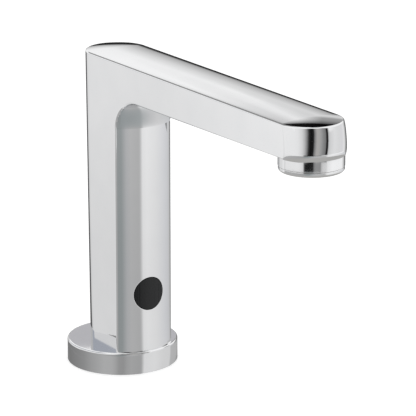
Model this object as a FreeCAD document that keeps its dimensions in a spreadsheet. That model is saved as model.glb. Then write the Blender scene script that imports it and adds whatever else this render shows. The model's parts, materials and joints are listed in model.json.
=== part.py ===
import FreeCAD, Part
import math
import os
import re
import Sketcher

# A deck-mounted sensor tap: a hollow cast column and spout on a round base flange, with a
# sensor behind a dark window, a latching solenoid valve in the column and an aerator.
# Millimetres.  +Z is up, the spout points towards -Y, and the origin is the centre of the
# flange's underside.  "Forward" sizes count from the column's axis towards -Y.

Vec = FreeCAD.Vector
UP = Vec(0, 0, 1)

OUTSIDE = {
    "flange_radius": 27.0,
    "flange_height": 11.0,
    "flange_edge": 0.8,
    "half_width": 15.4,
    "front_radius": 25.6,
    "back_centre_low": 0.4,
    "back_centre_high": 2.3,
    "top_height": 155.0,
    "crown_rise": 1.0,
    "spout_depth": 17.2,
    "underside_rise": 1.6,
    "reach_length": 159.3,
    "nose_round": 4.2,
    "nose_draw": 0.8,
    "inner_fillet": 17.0,
    "top_round": 1.2,
    "edge_round": 0.9,
    "collar_radius": 14.8,
    "collar_height": 3.0,
}

CASTING = {
    "wall_thickness": 2.8,
    "roof_thickness": 3.4,
    "floor_thickness": 2.8,
    "boss_radius": 3.4,
    "boss_height": 9.0,
    "outlet_bore": 11.46,
    "fit_gap": 0.1,
}

FLANGE = {
    "spigot_height": 4.0,
    "spigot_gap": 0.15,
    "seal_inner": 23.3,
    "seal_width": 2.4,
    "seal_depth": 1.6,
    "stud_radius": 2.5,
    "stud_depth": 8.0,
    "stud_spacing": 24.4,
    "body_screw_radius": 2.0,
    "body_screw_head": 3.9,
    "body_screw_grip": 7.0,
    "front_screw_side": 9.4,
    "front_screw_forward": 16.4,
    "back_screw_back": 10.9,
    "screw_gap": 0.05,
    "screw_recess": 0.2,
}

PILLARS = {
    "pillar_radius": 2.4,
    "pillar_side": 8.9,
    "pillar_forward": 5.0,
    "pillar_screw_radius": 1.5,
    "pillar_screw_head": 2.8,
    "pillar_screw_grip": 6.0,
    "pillar_stud_length": 6.0,
}

SENSOR = {
    "sensor_height": 39.7,
    "window_radius": 8.1,
    "window_flange": 1.2,
    "window_shoulder": 1.3,
    "seat_forward": 20.8,
    "seat_radius": 10.8,
    "window_seal": 0.8,
    "housing_depth": 5.6,
    "housing_wall": 1.0,
    "board_thickness": 1.0,
    "eye_radius": 1.5,
    "eye_spacing": 5.6,
    "eye_height": 3.2,
    "divider_thickness": 1.0,
    "retainer_thickness": 1.0,
    "retainer_screw": 1.2,
    "retainer_screw_head": 2.2,
    "retainer_head_height": 1.4,
    "retainer_screw_grip": 5.0,
    "retainer_offset": 8.6,
    "retainer_boss": 2.6,
    "lead_radius": 1.0,
    "lead_side": 6.0,
    "lead_drop": 3.5,
    "lead_gap": 0.1,
}

VALVE = {
    "valve_back": 2.6,
    "valve_floor": 54.0,
    "ring_height": 2.0,
    "bonnet_height": 4.0,
    "bonnet_floor": 1.0,
    "diaphragm_thickness": 1.0,
    "diaphragm_radius": 7.6,
    "skirt_wall": 1.2,
    "chamber_radius": 6.2,
    "seat_bore": 2.3,
    "seat_wall": 1.2,
    "annulus_height": 9.4,
    "gallery_bore": 1.4,
    "block_step": 0.5,
    "block_side": 11.2,
    "block_centre": 2.2,
    "block_forward": 13.5,
    "roof_web": 3.6,
    "socket_depth": 8.0,
    "insert_radius": 4.2,
    "insert_height": 1.2,
    "insert_stem": 1.5,
    "stem_length": 3.0,
    "pilot_bore": 0.4,
    "seal_proud": 0.8,
    "seal_radius": 1.9,
    "seal_pocket": 1.2,
    "valve_gap": 0.05,
}

SOLENOID = {
    "coil_height": 20.8,
    "guide_bore": 4.0,
    "guide_wall": 0.4,
    "guide_floor": 1.0,
    "magnet_height": 3.3,
    "pole_height": 4.0,
    "plunger_lift": 2.2,
    "plunger_spare": 0.3,
    "plunger_gap": 0.05,
    "plunger_bore": 2.3,
    "plunger_bore_depth": 8.0,
    "spring_radius": 1.75,
    "spring_wire": 0.25,
    "spring_turns": 4.0,
    "bobbin_wall": 0.7,
    "bobbin_flange": 1.2,
    "winding_radius": 7.6,
    "can_radius": 8.8,
    "can_wall": 1.0,
    "can_side_wall": 0.6,
    "stub_radius": 2.4,
    "coil_nut_height": 3.2,
    "coil_nut_corner": 4.6,
    "coil_lead_side": 6.3,
}

INLET = {
    "inlet_forward": 9.2,
    "fitting_radius": 6.6,
    "fitting_shoulder": 7.0,
    "shoulder_height": 2.0,
    "thread_bore": 4.46,
    "thread_depth": 9.0,
    "chamber_bore": 4.3,
    "chamber_top": 20.0,
    "fitting_roof": 1.5,
    "fitting_passage": 1.8,
    "riser_seat": 4.5,
    "riser_radius": 2.8,
    "riser_wall": 0.7,
    "block_seat": 5.5,
    "oring_wire": 0.5,
    "oring_gap": 0.05,
    "oring_inset": 1.5,
    "clip_thickness": 1.0,
    "clip_width": 1.1,
    "clip_opening": 4.0,
    "clip_level": 3.0,
    "cage_height": 5.2,
    "cage_wall": 0.6,
    "cage_floor": 1.0,
    "cage_bore": 2.3,
    "poppet_radius": 3.1,
    "poppet_thickness": 1.0,
    "poppet_stem": 0.9,
    "poppet_stem_length": 1.6,
    "check_spring_radius": 2.45,
    "check_spring_wire": 0.2,
    "check_spring_turns": 2.5,
    "filter_rim": 1.0,
    "filter_radius": 3.2,
    "filter_depth": 3.6,
    "filter_wall": 0.4,
}

CONNECTOR = {
    "connector_radius": 4.0,
    "connector_shoulder": 4.5,
    "connector_shoulder_height": 1.5,
    "connector_top": 17.0,
    "socket_radius": 3.1,
    "connector_socket_depth": 6.0,
    "pin_radius": 0.4,
    "pin_spread": 1.3,
    "pin_length": 5.0,
    "connector_lead_side": 1.8,
}

WATERWAY = {
    "hose_radius": 4.0,
    "hose_bore": 3.0,
    "hose_bend": 18.0,
    "hose_seal_wire": 0.45,
    "adaptor_seat": 4.8,
    "adaptor_bore": 4.0,
    "adaptor_web": 2.6,
    "nipple_wall": 0.95,
    "nipple_length": 10.0,
    "adaptor_ring_wire": 0.8,
    "outlet_ring_height": 2.2,
    "ring_radius": 14.65,
    "ring_chamfer": 0.8,
    "ring_lip": 1.0,
    "ring_lip_bore": 9.4,
    "ring_wall": 1.0,
    "ring_thread_height": 4.2,
    "screen_thickness": 1.0,
    "screen_cell": 2.2,
    "screen_rib": 0.4,
    "cartridge_height": 3.8,
    "cartridge_wall": 1.2,
    "cartridge_plate": 1.6,
    "regulator_radius": 4.2,
    "regulator_height": 1.0,
    "washer_bore": 7.0,
}

GROUPS = (OUTSIDE, CASTING, FLANGE, PILLARS, SENSOR, VALVE, SOLENOID, INLET, CONNECTOR, WATERWAY)

doc = FreeCAD.newDocument("sensor_tap")
sheet = doc.addObject("Spreadsheet::Sheet", "Sizes")
levels = doc.addObject("App::FeaturePython", "Levels")
aliases = {}
nodes = []


def fill_sheet():
    row = 0
    for group in GROUPS:
        for alias, number in group.items():
            row += 1
            sheet.set("A%d" % row, alias.replace("_", " "))
            sheet.set("B%d" % row, str(number))
            sheet.setAlias("B%d" % row, alias)
            aliases[alias] = "Sizes." + alias


def bound(expression):
    # names of sizes and levels become references that the document follows
    return re.sub(r"[a-z]+(?:_[a-z]+)+", lambda found: aliases[found.group(0)], expression)


def level(alias, expression):
    # a height or a distance that follows from the sizes
    levels.addProperty("App::PropertyFloat", alias, "Levels")
    levels.setExpression(alias, bound(expression))
    aliases[alias] = "Levels." + alias


def get(alias):
    holder, name = aliases[alias].split(".")
    if holder == "Sizes":
        return float(sheet.get(name))
    return float(getattr(levels, name))


def set_levels():
    # base
    level("spigot_top", "flange_height + spigot_height")
    level("boss_top", "spigot_top + boss_height")
    level("seal_outer", "seal_inner + seal_width")
    # spout
    level("underside_height", "top_height - spout_depth")
    level("collar_foot", "underside_height - collar_height")
    level("spout_floor", "underside_height + underside_rise + floor_thickness")
    level("spout_roof", "top_height - roof_thickness")
    level("hose_level", "spout_floor + (spout_roof - spout_floor) / 2")
    # sensor, counted forward from the column's axis
    level("window_front", "seat_forward - window_seal")
    level("window_back", "window_front - window_flange")
    level("housing_back", "window_back - housing_depth")
    level("housing_floor", "housing_back + housing_wall")
    level("board_front", "housing_floor + board_thickness")
    level("retainer_back", "housing_back - retainer_thickness")
    level("housing_radius", "window_radius + window_shoulder")
    # valve, from the bottom of its skirt upwards
    level("ring_top", "valve_floor + ring_height")
    level("bonnet_top", "ring_top + bonnet_height")
    level("seat_level", "bonnet_top + diaphragm_thickness")
    level("block_floor", "seat_level + block_step")
    level("gallery_roof", "seat_level + annulus_height")
    level("outlet_step", "gallery_roof + roof_web")
    level("block_top", "outlet_step + socket_depth")
    level("riser_top", "block_floor + block_seat")
    level("insert_foot", "bonnet_top - insert_height")
    level("plunger_top", "insert_foot - seal_proud")
    # solenoid, from the bottom of the valve's skirt downwards
    level("coil_foot", "valve_floor - coil_height")
    level("can_foot", "coil_foot - can_wall")
    level("nut_foot", "can_foot - coil_nut_height")
    level("stub_foot", "nut_foot - screw_gap * 4")
    level("guide_radius", "guide_bore + guide_wall")
    level("guide_bottom", "coil_foot + guide_floor")
    level("magnet_top", "guide_bottom + magnet_height")
    level("pole_top", "magnet_top + pole_height")
    level("plunger_foot", "pole_top + plunger_lift + plunger_spare")
    level("plunger_bore_top", "plunger_foot + plunger_bore_depth")
    # inlet
    level("cage_foot", "chamber_top - cage_height")
    level("poppet_foot", "cage_foot + cage_floor")
    level("poppet_top", "poppet_foot + poppet_thickness")
    level("filter_top", "cage_foot")
    level("riser_foot", "chamber_top + fitting_roof")
    level("fitting_top", "riser_foot + riser_seat")
    level("groove_radius", "riser_radius + oring_gap * 2 + oring_wire * 2")
    level("groove_height", "oring_wire * 2 + oring_gap * 2")
    level("clip_groove", "fitting_radius - clip_width / 2")
    level("clip_radius", "clip_groove + clip_width")
    level("clip_top", "clip_level + clip_thickness")
    # outlet
    level("ring_foot", "collar_foot - outlet_ring_height")
    level("adaptor_foot", "collar_foot + adaptor_seat")
    level("screen_foot", "ring_foot + ring_lip")
    level("cartridge_foot", "screen_foot + screen_thickness")
    level("cartridge_top", "cartridge_foot + cartridge_height")
    level("ring_thread", "outlet_bore - valve_gap")
    level("ring_bore", "ring_thread - ring_wall")
    level("adaptor_radius", "outlet_bore - fit_gap")
    level("adaptor_groove", "adaptor_radius - adaptor_ring_wire * 2")


# ---- ways of making a piece ----


def stand(piece, x, y, z, facing):
    # facing front turns a piece's own height forward and its own depth upwards
    if facing == "front":
        piece.Placement = FreeCAD.Placement(Vec(0, 0, 0), FreeCAD.Rotation(Vec(1, 0, 0), 90))
    for axis, expression in (("x", x), ("y", y), ("z", z)):
        if expression != "0":
            piece.setExpression("Placement.Base." + axis, bound(expression))


def draw_outline(sketch, corners):
    # straight edges through corners, each corner tied to the sizes
    count = len(corners)
    start = [Vec(20 + 10 * math.cos(2 * math.pi * i / count), 30 + 10 * math.sin(2 * math.pi * i / count), 0)
             for i in range(count)]
    for i in range(count):
        sketch.addGeometry(Part.LineSegment(start[i], start[(i + 1) % count]), False)
    for i in range(count):
        sketch.addConstraint(Sketcher.Constraint("Coincident", i, 2, (i + 1) % count, 1))
    for i, (across, height) in enumerate(corners):
        if across == "0":
            sketch.addConstraint(Sketcher.Constraint("PointOnObject", i, 1, -2))
        else:
            place = sketch.addConstraint(Sketcher.Constraint("DistanceX", -1, 1, i, 1, start[i].x))
            sketch.setExpression("Constraints[%d]" % place, bound(across))
        if height == "0":
            sketch.addConstraint(Sketcher.Constraint("PointOnObject", i, 1, -1))
        else:
            place = sketch.addConstraint(Sketcher.Constraint("DistanceY", -1, 1, i, 1, start[i].y))
            sketch.setExpression("Constraints[%d]" % place, bound(height))


def turned(label, corners, x="0", y="0", z="0", facing="up"):
    # a turned piece: (radius, height) corners revolved about its own axis
    body = doc.addObject("PartDesign::Body", label)
    sketch = body.newObject("Sketcher::SketchObject", label + "_section")
    plane = [feature for feature in body.Origin.OriginFeatures if feature.Role == "XZ_Plane"][0]
    sketch.AttachmentSupport = (plane, [""])
    sketch.MapMode = "FlatFace"
    draw_outline(sketch, corners)
    turn = body.newObject("PartDesign::Revolution", label + "_turn")
    turn.Profile = sketch
    turn.ReferenceAxis = (sketch, ["V_Axis"])
    turn.Angle = 360
    stand(body, x, y, z, facing)
    return body


def washer(label, inner, outer, low, high, x="0", y="0", z="0", facing="up"):
    corners = [(inner, low), (outer, low), (outer, high), (inner, high)]
    return turned(label, corners, x, y, z, facing)


def rod(label, radius, low, high, x="0", y="0", facing="up"):
    # a plain cylinder; facing front, low and high count forward and y is its height
    piece = doc.addObject("Part::Cylinder", label)
    piece.setExpression("Radius", bound(radius))
    piece.setExpression("Height", bound("(%s) - (%s)" % (high, low)))
    if facing == "front":
        stand(piece, x, "-(%s)" % high, y, facing)
        piece.Placement.Rotation = FreeCAD.Rotation(Vec(1, 0, 0), -90)
    else:
        stand(piece, x, y, low, facing)
    return piece


def slab(label, low_corner, high_corner):
    # a rectangular block between two corners
    piece = doc.addObject("Part::Box", label)
    for side, low, high in zip(("Length", "Width", "Height"), low_corner, high_corner):
        piece.setExpression(side, bound("(%s) - (%s)" % (high, low)))
    stand(piece, low_corner[0], low_corner[1], low_corner[2], "up")
    return piece


def ring(label, radius, wire, height, x="0", y="0"):
    # an O-ring
    piece = doc.addObject("Part::Torus", label)
    piece.setExpression("Radius1", bound(radius))
    piece.setExpression("Radius2", bound(wire))
    stand(piece, x, y, height, "up")
    return piece


def join(label, *pieces):
    whole = doc.addObject("Part::MultiFuse", label)
    whole.Shapes = list(pieces)
    whole.Refine = True
    return whole


def carve(label, stock, *tools):
    tool = tools[0] if len(tools) == 1 else join(label + "_tools", *tools)
    left = doc.addObject("Part::Cut", label)
    left.Base = stock
    left.Tool = tool
    left.Refine = True
    return left


def overlap(label, first, second):
    common = doc.addObject("Part::Common", label)
    common.Base = first
    common.Tool = second
    return common


def several(label, *pieces):
    # identical pieces that share a node
    group = doc.addObject("Part::Compound", label)
    group.Links = list(pieces)
    return group


def computed(label, shape):
    feature = doc.addObject("Part::Feature", label)
    feature.Shape = shape
    return feature


def node(piece):
    nodes.append(piece)
    return piece


def countersink(label, radius, head, gap, x, y, top):
    # the room of a countersunk screw that enters from below
    wide = "%s + %s" % (head, gap)
    shank = "%s + %s" % (radius, gap)
    neck = "screw_recess + %s - %s" % (head, radius)
    corners = [("0", "0"), (wide, "0"), (wide, "screw_recess"), (shank, neck), (shank, top), ("0", top)]
    return turned(label, corners, x, y)


def countersunk_screw(label, radius, head, x, y, top):
    neck = "screw_recess + %s - %s" % (head, radius)
    corners = [("0", "screw_recess"), (head, "screw_recess"), (radius, neck), (radius, top), ("0", top)]
    return turned(label, corners, x, y)


def coil_spring(label, radius, wire, turns, low, high, y):
    # an open wound spring between its two seats: half turns that run level where they meet
    halves = round(2 * get(turns))
    climb = (get(high) - get(low) - 2 * get(wire)) / halves
    side = Vec(get(radius), 0, 0)
    ahead = Vec(0, get(radius), 0)
    foot = Vec(0, y, get(low) + get(wire))
    section = Part.Wire([Part.makeCircle(get(wire), foot + side, ahead)])
    edges = []
    for i in range(halves):
        edges.append(Part.Arc(foot + side, foot + ahead + UP * climb / 2, foot - side + UP * climb).toShape())
        foot = foot + UP * climb
        side = side * -1
        ahead = ahead * -1
    shape = Part.Wire(edges).makePipeShell([section], True, False)
    return computed(label, shape)


def route(points, radii):
    # straight runs joined by tangent arcs
    edges = []
    start = points[0]
    for corner, before, after, radius in zip(points[1:-1], points[:-2], points[2:], radii):
        come = (corner - before).normalize()
        go = (after - corner).normalize()
        turn = come.getAngle(go)
        trim = radius * math.tan(turn / 2)
        first = corner - come * trim
        last = corner + go * trim
        inward = (go - come).normalize()
        middle = corner + inward * (radius / math.cos(turn / 2) - radius)
        edges.append(Part.LineSegment(start, first).toShape())
        edges.append(Part.Arc(first, middle, last).toShape())
        start = last
    edges.append(Part.LineSegment(start, points[-1]).toShape())
    return Part.Wire(edges)


def cord_radii(points):
    # each arc as large as its two runs allow
    radii = []
    for corner, before, after in zip(points[1:-1], points[:-2], points[2:]):
        turn = (corner - before).getAngle(after - corner)
        shorter = min((corner - before).Length, (after - corner).Length)
        radii.append(0.45 * shorter / math.tan(turn / 2))
    return radii


def piped(points, radii, radius):
    path = route(points, radii)
    section = Part.Wire([Part.makeCircle(radius, points[0], points[1] - points[0])])
    solid = path.makePipeShell([section], True, False)
    return solid if solid.ShapeType == "Solid" else Part.Solid(solid)


# ---- the casting ----


def back_centre(height):
    # the column's back leans out a little towards the top
    lean = (get("back_centre_high") - get("back_centre_low")) / (get("top_height") - get("flange_height"))
    return get("back_centre_low") + lean * (height - get("flange_height"))


def corner_forward(inset):
    # how far forward the flat sides end, where they meet the arched front
    half = get("half_width") - inset
    front = get("front_radius") - inset
    return math.sqrt(front ** 2 - half ** 2)


def half_disc(half, centre, height):
    ends = Vec(half, centre, height), Vec(-half, centre, height)
    arc = Part.Arc(ends[0], Vec(0, centre + half, height), ends[1]).toShape()
    return Part.Face(Part.Wire([Part.LineSegment(ends[1], ends[0]).toShape(), arc]))


def front_segment(inset, height):
    half = get("half_width") - inset
    front = get("front_radius") - inset
    edge = -corner_forward(inset)
    ends = Vec(-half, edge, height), Vec(half, edge, height)
    arc = Part.Arc(ends[0], Vec(0, -front, height), ends[1]).toShape()
    return Part.Face(Part.Wire([Part.LineSegment(ends[1], ends[0]).toShape(), arc]))


def polygon(corners):
    return Part.Face(Part.makePolygon(corners + [corners[0]]))


def column(inset, low, high):
    # the column's section between two heights, drawn in by inset
    half = get("half_width") - inset
    edge = -corner_forward(inset)
    lean = back_centre(high) - back_centre(low)
    side = polygon([Vec(-half, back_centre(low), low), Vec(-half, edge, low),
                    Vec(-half, edge, high), Vec(-half, back_centre(high), high)])
    middle = side.extrude(Vec(2 * half, 0, 0))
    front = front_segment(inset, low).extrude(Vec(0, 0, high - low))
    back = half_disc(half, back_centre(low), low).extrude(Vec(0, lean, high - low))
    return middle.multiFuse([front, back]).removeSplitter()


def crown():
    # the domed top: an arched ridge that ends in a spherical cap at each end
    half = get("half_width")
    rise = get("crown_rise")
    top = get("top_height")
    back = back_centre(top)
    reach = get("reach_length")
    ridge_radius = (half ** 2 + rise ** 2) / (2 * rise)
    ends = Vec(half, -reach, top), Vec(-half, -reach, top)
    arch = Part.Arc(ends[1], Vec(0, -reach, top + rise), ends[0]).toShape()
    section = Part.Face(Part.Wire([Part.LineSegment(ends[0], ends[1]).toShape(), arch]))
    ridge = section.extrude(Vec(0, reach + back, 0))
    between = half / 2
    drop = ridge_radius - math.sqrt(ridge_radius ** 2 - between ** 2)
    caps = []
    for centre, sweep in ((-reach, -180), (back, 180)):
        axis = Vec(0, centre, top)
        peak = axis + UP * rise
        shoulder = Part.Arc(axis + Vec(half, 0, 0), peak + Vec(between, 0, -drop), peak).toShape()
        edges = [Part.LineSegment(peak, axis).toShape(),
                 Part.LineSegment(axis, axis + Vec(half, 0, 0)).toShape(), shoulder]
        caps.append(Part.Face(Part.Wire(edges)).revolve(axis, UP, sweep))
    return [ridge] + caps


def nose_foot():
    # the rounded end's lower part, drawn in towards the foot, most of all at its front
    half = get("half_width")
    rise = get("nose_round")
    foot = get("underside_height") + get("underside_rise")
    reach = get("reach_length")
    rows = 4
    outlines = []
    for row in range(rows + 1):
        share = row / rows
        centre = Vec(0, -reach, foot + rise * share)
        depth = half - get("nose_draw") * (1 - share) ** 2
        arc = Part.ArcOfEllipse(Part.Ellipse(centre, half, depth), math.pi, 2 * math.pi)
        chord = Part.LineSegment(centre + Vec(half, 0, 0), centre - Vec(half, 0, 0))
        outlines.append(Part.Wire([arc.toShape(), chord.toShape()]))
    end = Part.makeLoft(outlines, True, False)

    # the round of the spout's lower corners runs out on it
    room = Part.makeBox(2 * half, half + 1, 2 * rise, Vec(-half, -reach - half - 1, foot))
    lower = [e for e in room.Edges if e.BoundBox.YLength > 1 and e.BoundBox.ZMax < foot + 0.01]
    return end.common(room.makeFillet(get("edge_round"), lower))


def outer_form():
    half = get("half_width")
    foot = get("flange_height")
    top = get("top_height")
    under = get("underside_height")
    nose_low = under + get("underside_rise")
    reach = get("reach_length")
    edge = corner_forward(0)
    side = polygon([Vec(-half, back_centre(foot), foot), Vec(-half, -edge, foot), Vec(-half, -edge, under),
                    Vec(-half, -reach, nose_low), Vec(-half, -reach, top), Vec(-half, back_centre(top), top)])
    middle = side.extrude(Vec(2 * half, 0, 0))
    hidden = get("roof_thickness")
    front = front_segment(0, foot).extrude(Vec(0, 0, top - hidden - foot))
    lean = back_centre(top) - back_centre(foot)
    back = half_disc(half, back_centre(foot), foot).extrude(Vec(0, lean, top - foot))
    belly = nose_low + get("nose_round")
    nose = Part.makeCylinder(half, top - belly, Vec(0, -reach, belly), UP, 180)
    nose.rotate(Vec(0, -reach, 0), UP, 180)
    whole = middle.multiFuse([front, back] + crown()[:1]).removeSplitter().Solids[0]

    # the large fillet between the arched front and the underside of the spout
    rise = get("underside_rise")
    inner = [e for e in whole.Edges if abs(e.BoundBox.ZMin - under) < rise and e.BoundBox.XLength > half
             and e.BoundBox.YMax < 0.5 - edge and e.BoundBox.YMin > -get("front_radius") - 0.5]
    whole = whole.makeFillet(get("inner_fillet"), inner)

    # the front corners of the column, round the fillet and along the underside
    corners = [e for e in whole.Edges if abs(abs(e.BoundBox.XMin) - half) < 0.01 and e.BoundBox.XLength < 0.01
               and e.BoundBox.Center.y < -edge + 0.01 and e.BoundBox.ZMax < top - hidden]
    whole = whole.makeFillet(get("edge_round"), corners)

    # the rounded rim of the top
    whole = whole.multiFuse([nose, nose_foot()] + crown()[1:]).removeSplitter().Solids[0]
    rim = [e for e in whole.Edges if abs(e.BoundBox.ZMin - top) < 0.01 and abs(e.BoundBox.ZMax - top) < 0.01]
    return whole.makeFillet(get("top_round"), rim)


def upright(radius, low, high, x, y):
    return Part.makeCylinder(radius, high - low, Vec(x, y, low), UP)


def forward(radius, near, far, x, z):
    # a cylinder that runs forward from near to far
    return Part.makeCylinder(radius, far - near, Vec(x, -near, z), Vec(0, -1, 0))


def screw_places():
    side = get("front_screw_side")
    ahead = get("front_screw_forward")
    return [(side, -ahead), (-side, -ahead), (0, get("back_screw_back"))]


def retainer_places():
    offset = get("retainer_offset")
    height = get("sensor_height")
    return [(offset, height + offset), (-offset, height - offset)]


def hollow():
    # the room inside the column and the spout, less the bosses that stand in it
    wall = get("wall_thickness")
    foot = get("flange_height")
    reach = get("reach_length")
    floor = get("spout_floor")
    roof = get("spout_roof")
    half = get("half_width") - wall
    tunnel = Part.makeBox(2 * half, reach, roof - floor, Vec(-half, -reach, floor))
    end = upright(half, floor, roof, 0, -reach)
    room = column(wall, foot, roof).multiFuse([tunnel, end]).removeSplitter()
    bosses = [forward(get("seat_radius"), get("seat_forward"), get("front_radius"), 0, get("sensor_height"))]
    for x, y in screw_places():
        bosses.append(upright(get("boss_radius"), get("spigot_top"), get("boss_top"), x, y))
    for x, z in retainer_places():
        bosses.append(forward(get("retainer_boss"), get("housing_back"), get("front_radius"), x, z))
    return room.cut(bosses)


def tap_body():
    reach = get("reach_length")
    collar = upright(get("collar_radius"), get("collar_foot"), get("spout_floor"), 0, -reach)
    shell = outer_form().fuse(collar).removeSplitter().cut(hollow())
    gap = get("screw_gap")
    holes = [upright(get("outlet_bore"), get("collar_foot"), get("spout_roof"), 0, -reach),
             forward(get("window_radius") + gap, get("window_back"), get("front_radius") + 1,
                     0, get("sensor_height"))]
    grip = get("body_screw_grip") + gap
    for x, y in screw_places():
        holes.append(upright(get("body_screw_radius") + gap, get("spigot_top"), get("spigot_top") + grip, x, y))
    grip = get("retainer_screw_grip") + gap
    for x, z in retainer_places():
        holes.append(forward(get("retainer_screw") + gap, get("housing_back"), get("housing_back") + grip, x, z))
    shape = shell.cut(holes)
    return node(computed("tap_body", shape.Solids[0]))


# ---- base ----


def base_flange():
    disc = turned("flange_disc", [("0", "0"), ("flange_radius", "0"),
                                  ("flange_radius", "flange_height - flange_edge"),
                                  ("flange_radius - flange_edge * 0.3", "flange_height - flange_edge * 0.3"),
                                  ("flange_radius - flange_edge", "flange_height"), ("0", "flange_height")])
    spigot = computed("flange_spigot", column(get("wall_thickness") + get("spigot_gap"),
                                              get("flange_height"), get("spigot_top")))
    tools = [washer("seal_groove", "seal_inner", "seal_outer", "0", "seal_depth")]
    tools.append(rod("inlet_hole", "fitting_radius + fit_gap", "0", "spigot_top", y="-inlet_forward"))
    tools.append(rod("clip_recess", "clip_radius + fit_gap", "0", "clip_top", y="-inlet_forward"))
    tools.append(rod("connector_hole", "connector_radius + fit_gap", "0", "spigot_top", y="valve_back"))
    for i, (x, y) in enumerate(body_screw_seats()):
        tools.append(countersink("body_screw_hole_%d" % i, "body_screw_radius", "body_screw_head",
                                 "screw_gap", x, y, "spigot_top"))
    for i, (x, y) in enumerate(pillar_seats()):
        tools.append(countersink("pillar_screw_hole_%d" % i, "pillar_screw_radius", "pillar_screw_head",
                                 "screw_gap", x, y, "spigot_top"))
    for side in ("", "-"):
        tools.append(rod("stud_hole", "stud_radius", "0", "stud_depth", x=side + "stud_spacing / 2"))
    return node(carve("base_flange", join("flange_stock", disc, spigot), *tools))


def body_screw_seats():
    return [("front_screw_side", "-front_screw_forward"), ("-front_screw_side", "-front_screw_forward"),
            ("0", "back_screw_back")]


def pillar_seats():
    return [("pillar_side", "-pillar_forward"), ("-pillar_side", "-pillar_forward")]


def base_pieces():
    node(washer("base_seal", "seal_inner", "seal_outer", "0", "seal_depth"))
    screws = [countersunk_screw("body_screw_%d" % i, "body_screw_radius", "body_screw_head", x, y,
                                "spigot_top + body_screw_grip") for i, (x, y) in enumerate(body_screw_seats())]
    node(several("body_screws", *screws))
    screws = [countersunk_screw("pillar_screw_%d" % i, "pillar_screw_radius", "pillar_screw_head", x, y,
                                "spigot_top + pillar_screw_grip") for i, (x, y) in enumerate(pillar_seats())]
    node(several("pillar_screws", *screws))
    pillars = []
    for i, (x, y) in enumerate(pillar_seats()):
        bore = "pillar_screw_radius + screw_gap"
        bore_top = "spigot_top + pillar_screw_grip + 1"
        corners = [(bore, "spigot_top"), ("pillar_radius", "spigot_top"), ("pillar_radius", "block_floor"),
                   ("pillar_screw_radius", "block_floor"), ("pillar_screw_radius", "block_floor + pillar_stud_length"),
                   ("0", "block_floor + pillar_stud_length"), ("0", bore_top), (bore, bore_top)]
        pillars.append(turned("support_pillar_%d" % i, corners, x, y))
    node(several("support_pillars", *pillars))


def connector_pieces():
    barrel = turned("connector_barrel", [("0", "connector_socket_depth"), ("socket_radius", "connector_socket_depth"),
                                         ("socket_radius", "0"), ("connector_radius", "0"),
                                         ("connector_radius", "spigot_top"), ("connector_shoulder", "spigot_top"),
                                         ("connector_shoulder", "spigot_top + connector_shoulder_height"),
                                         ("connector_radius", "spigot_top + connector_shoulder_height"),
                                         ("connector_radius", "connector_top"), ("0", "connector_top")],
                    y="valve_back")
    holes = []
    pins = []
    for i, (across, along) in enumerate(((1, 1), (1, -1), (-1, 1), (-1, -1))):
        x = "%d * pin_spread" % across
        y = "valve_back + %d * pin_spread" % along
        root = "connector_socket_depth + pin_length / 2"
        holes.append(rod("pin_hole_%d" % i, "pin_radius", "connector_socket_depth", root, x, y))
        pins.append(rod("pin_%d" % i, "pin_radius", "connector_socket_depth - pin_length / 2", root, x, y))
    node(carve("lead_connector", barrel, *holes))
    node(several("connector_pins", *pins))


# ---- sensor ----


def sensor_turned(label, corners):
    return turned(label, corners, z="sensor_height", facing="front")


def sensor_window():
    blank = sensor_turned("window_blank", [("0", "window_back"), ("housing_radius", "window_back"),
                                           ("housing_radius", "window_front"), ("window_radius", "window_front"),
                                           ("window_radius", "front_radius + 1"), ("0", "front_radius + 1")])
    face = computed("window_face", column(0, get("flange_height"), get("top_height")))
    return node(overlap("sensor_window", blank, face))


def sensor_pieces():
    node(sensor_turned("sensor_seal", [("window_radius + fit_gap", "window_front"), ("housing_radius", "window_front"),
                                       ("housing_radius", "seat_forward"),
                                       ("window_radius + fit_gap", "seat_forward")]))
    inner = "housing_radius - housing_wall"
    cup = sensor_turned("housing_cup", [("0", "housing_back"), ("housing_radius", "housing_back"),
                                        ("housing_radius", "window_back"), (inner, "window_back"),
                                        (inner, "housing_floor"), ("0", "housing_floor")])
    exit_x, exit_z = "-lead_side", "sensor_height - lead_drop"
    lead_hole = rod("housing_lead_hole", "lead_radius + lead_gap", "housing_back", "housing_floor",
                    exit_x, exit_z, "front")
    node(carve("sensor_housing", cup, lead_hole))
    node(rod("sensor_board", inner + " - fit_gap", "housing_floor", "board_front", y="sensor_height", facing="front"))
    for label, side in (("emitter_led", "-"), ("receiver_diode", "")):
        x = side + "eye_spacing / 2"
        corners = [("0", "board_front"), ("eye_radius * 1.2", "board_front"), ("eye_radius * 1.2", "board_front + 0.7"),
                   ("eye_radius", "board_front + 0.7"), ("eye_radius", "board_front + eye_height * 0.7"),
                   ("eye_radius * 0.7", "board_front + eye_height * 0.92"), ("0", "board_front + eye_height")]
        node(turned(label, corners, x, z="sensor_height", facing="front"))
    node(slab("light_divider", ("-divider_thickness / 2", "-window_back", "sensor_height - housing_radius * 0.7"),
              ("divider_thickness / 2", "-board_front", "sensor_height + housing_radius * 0.7")))


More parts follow.
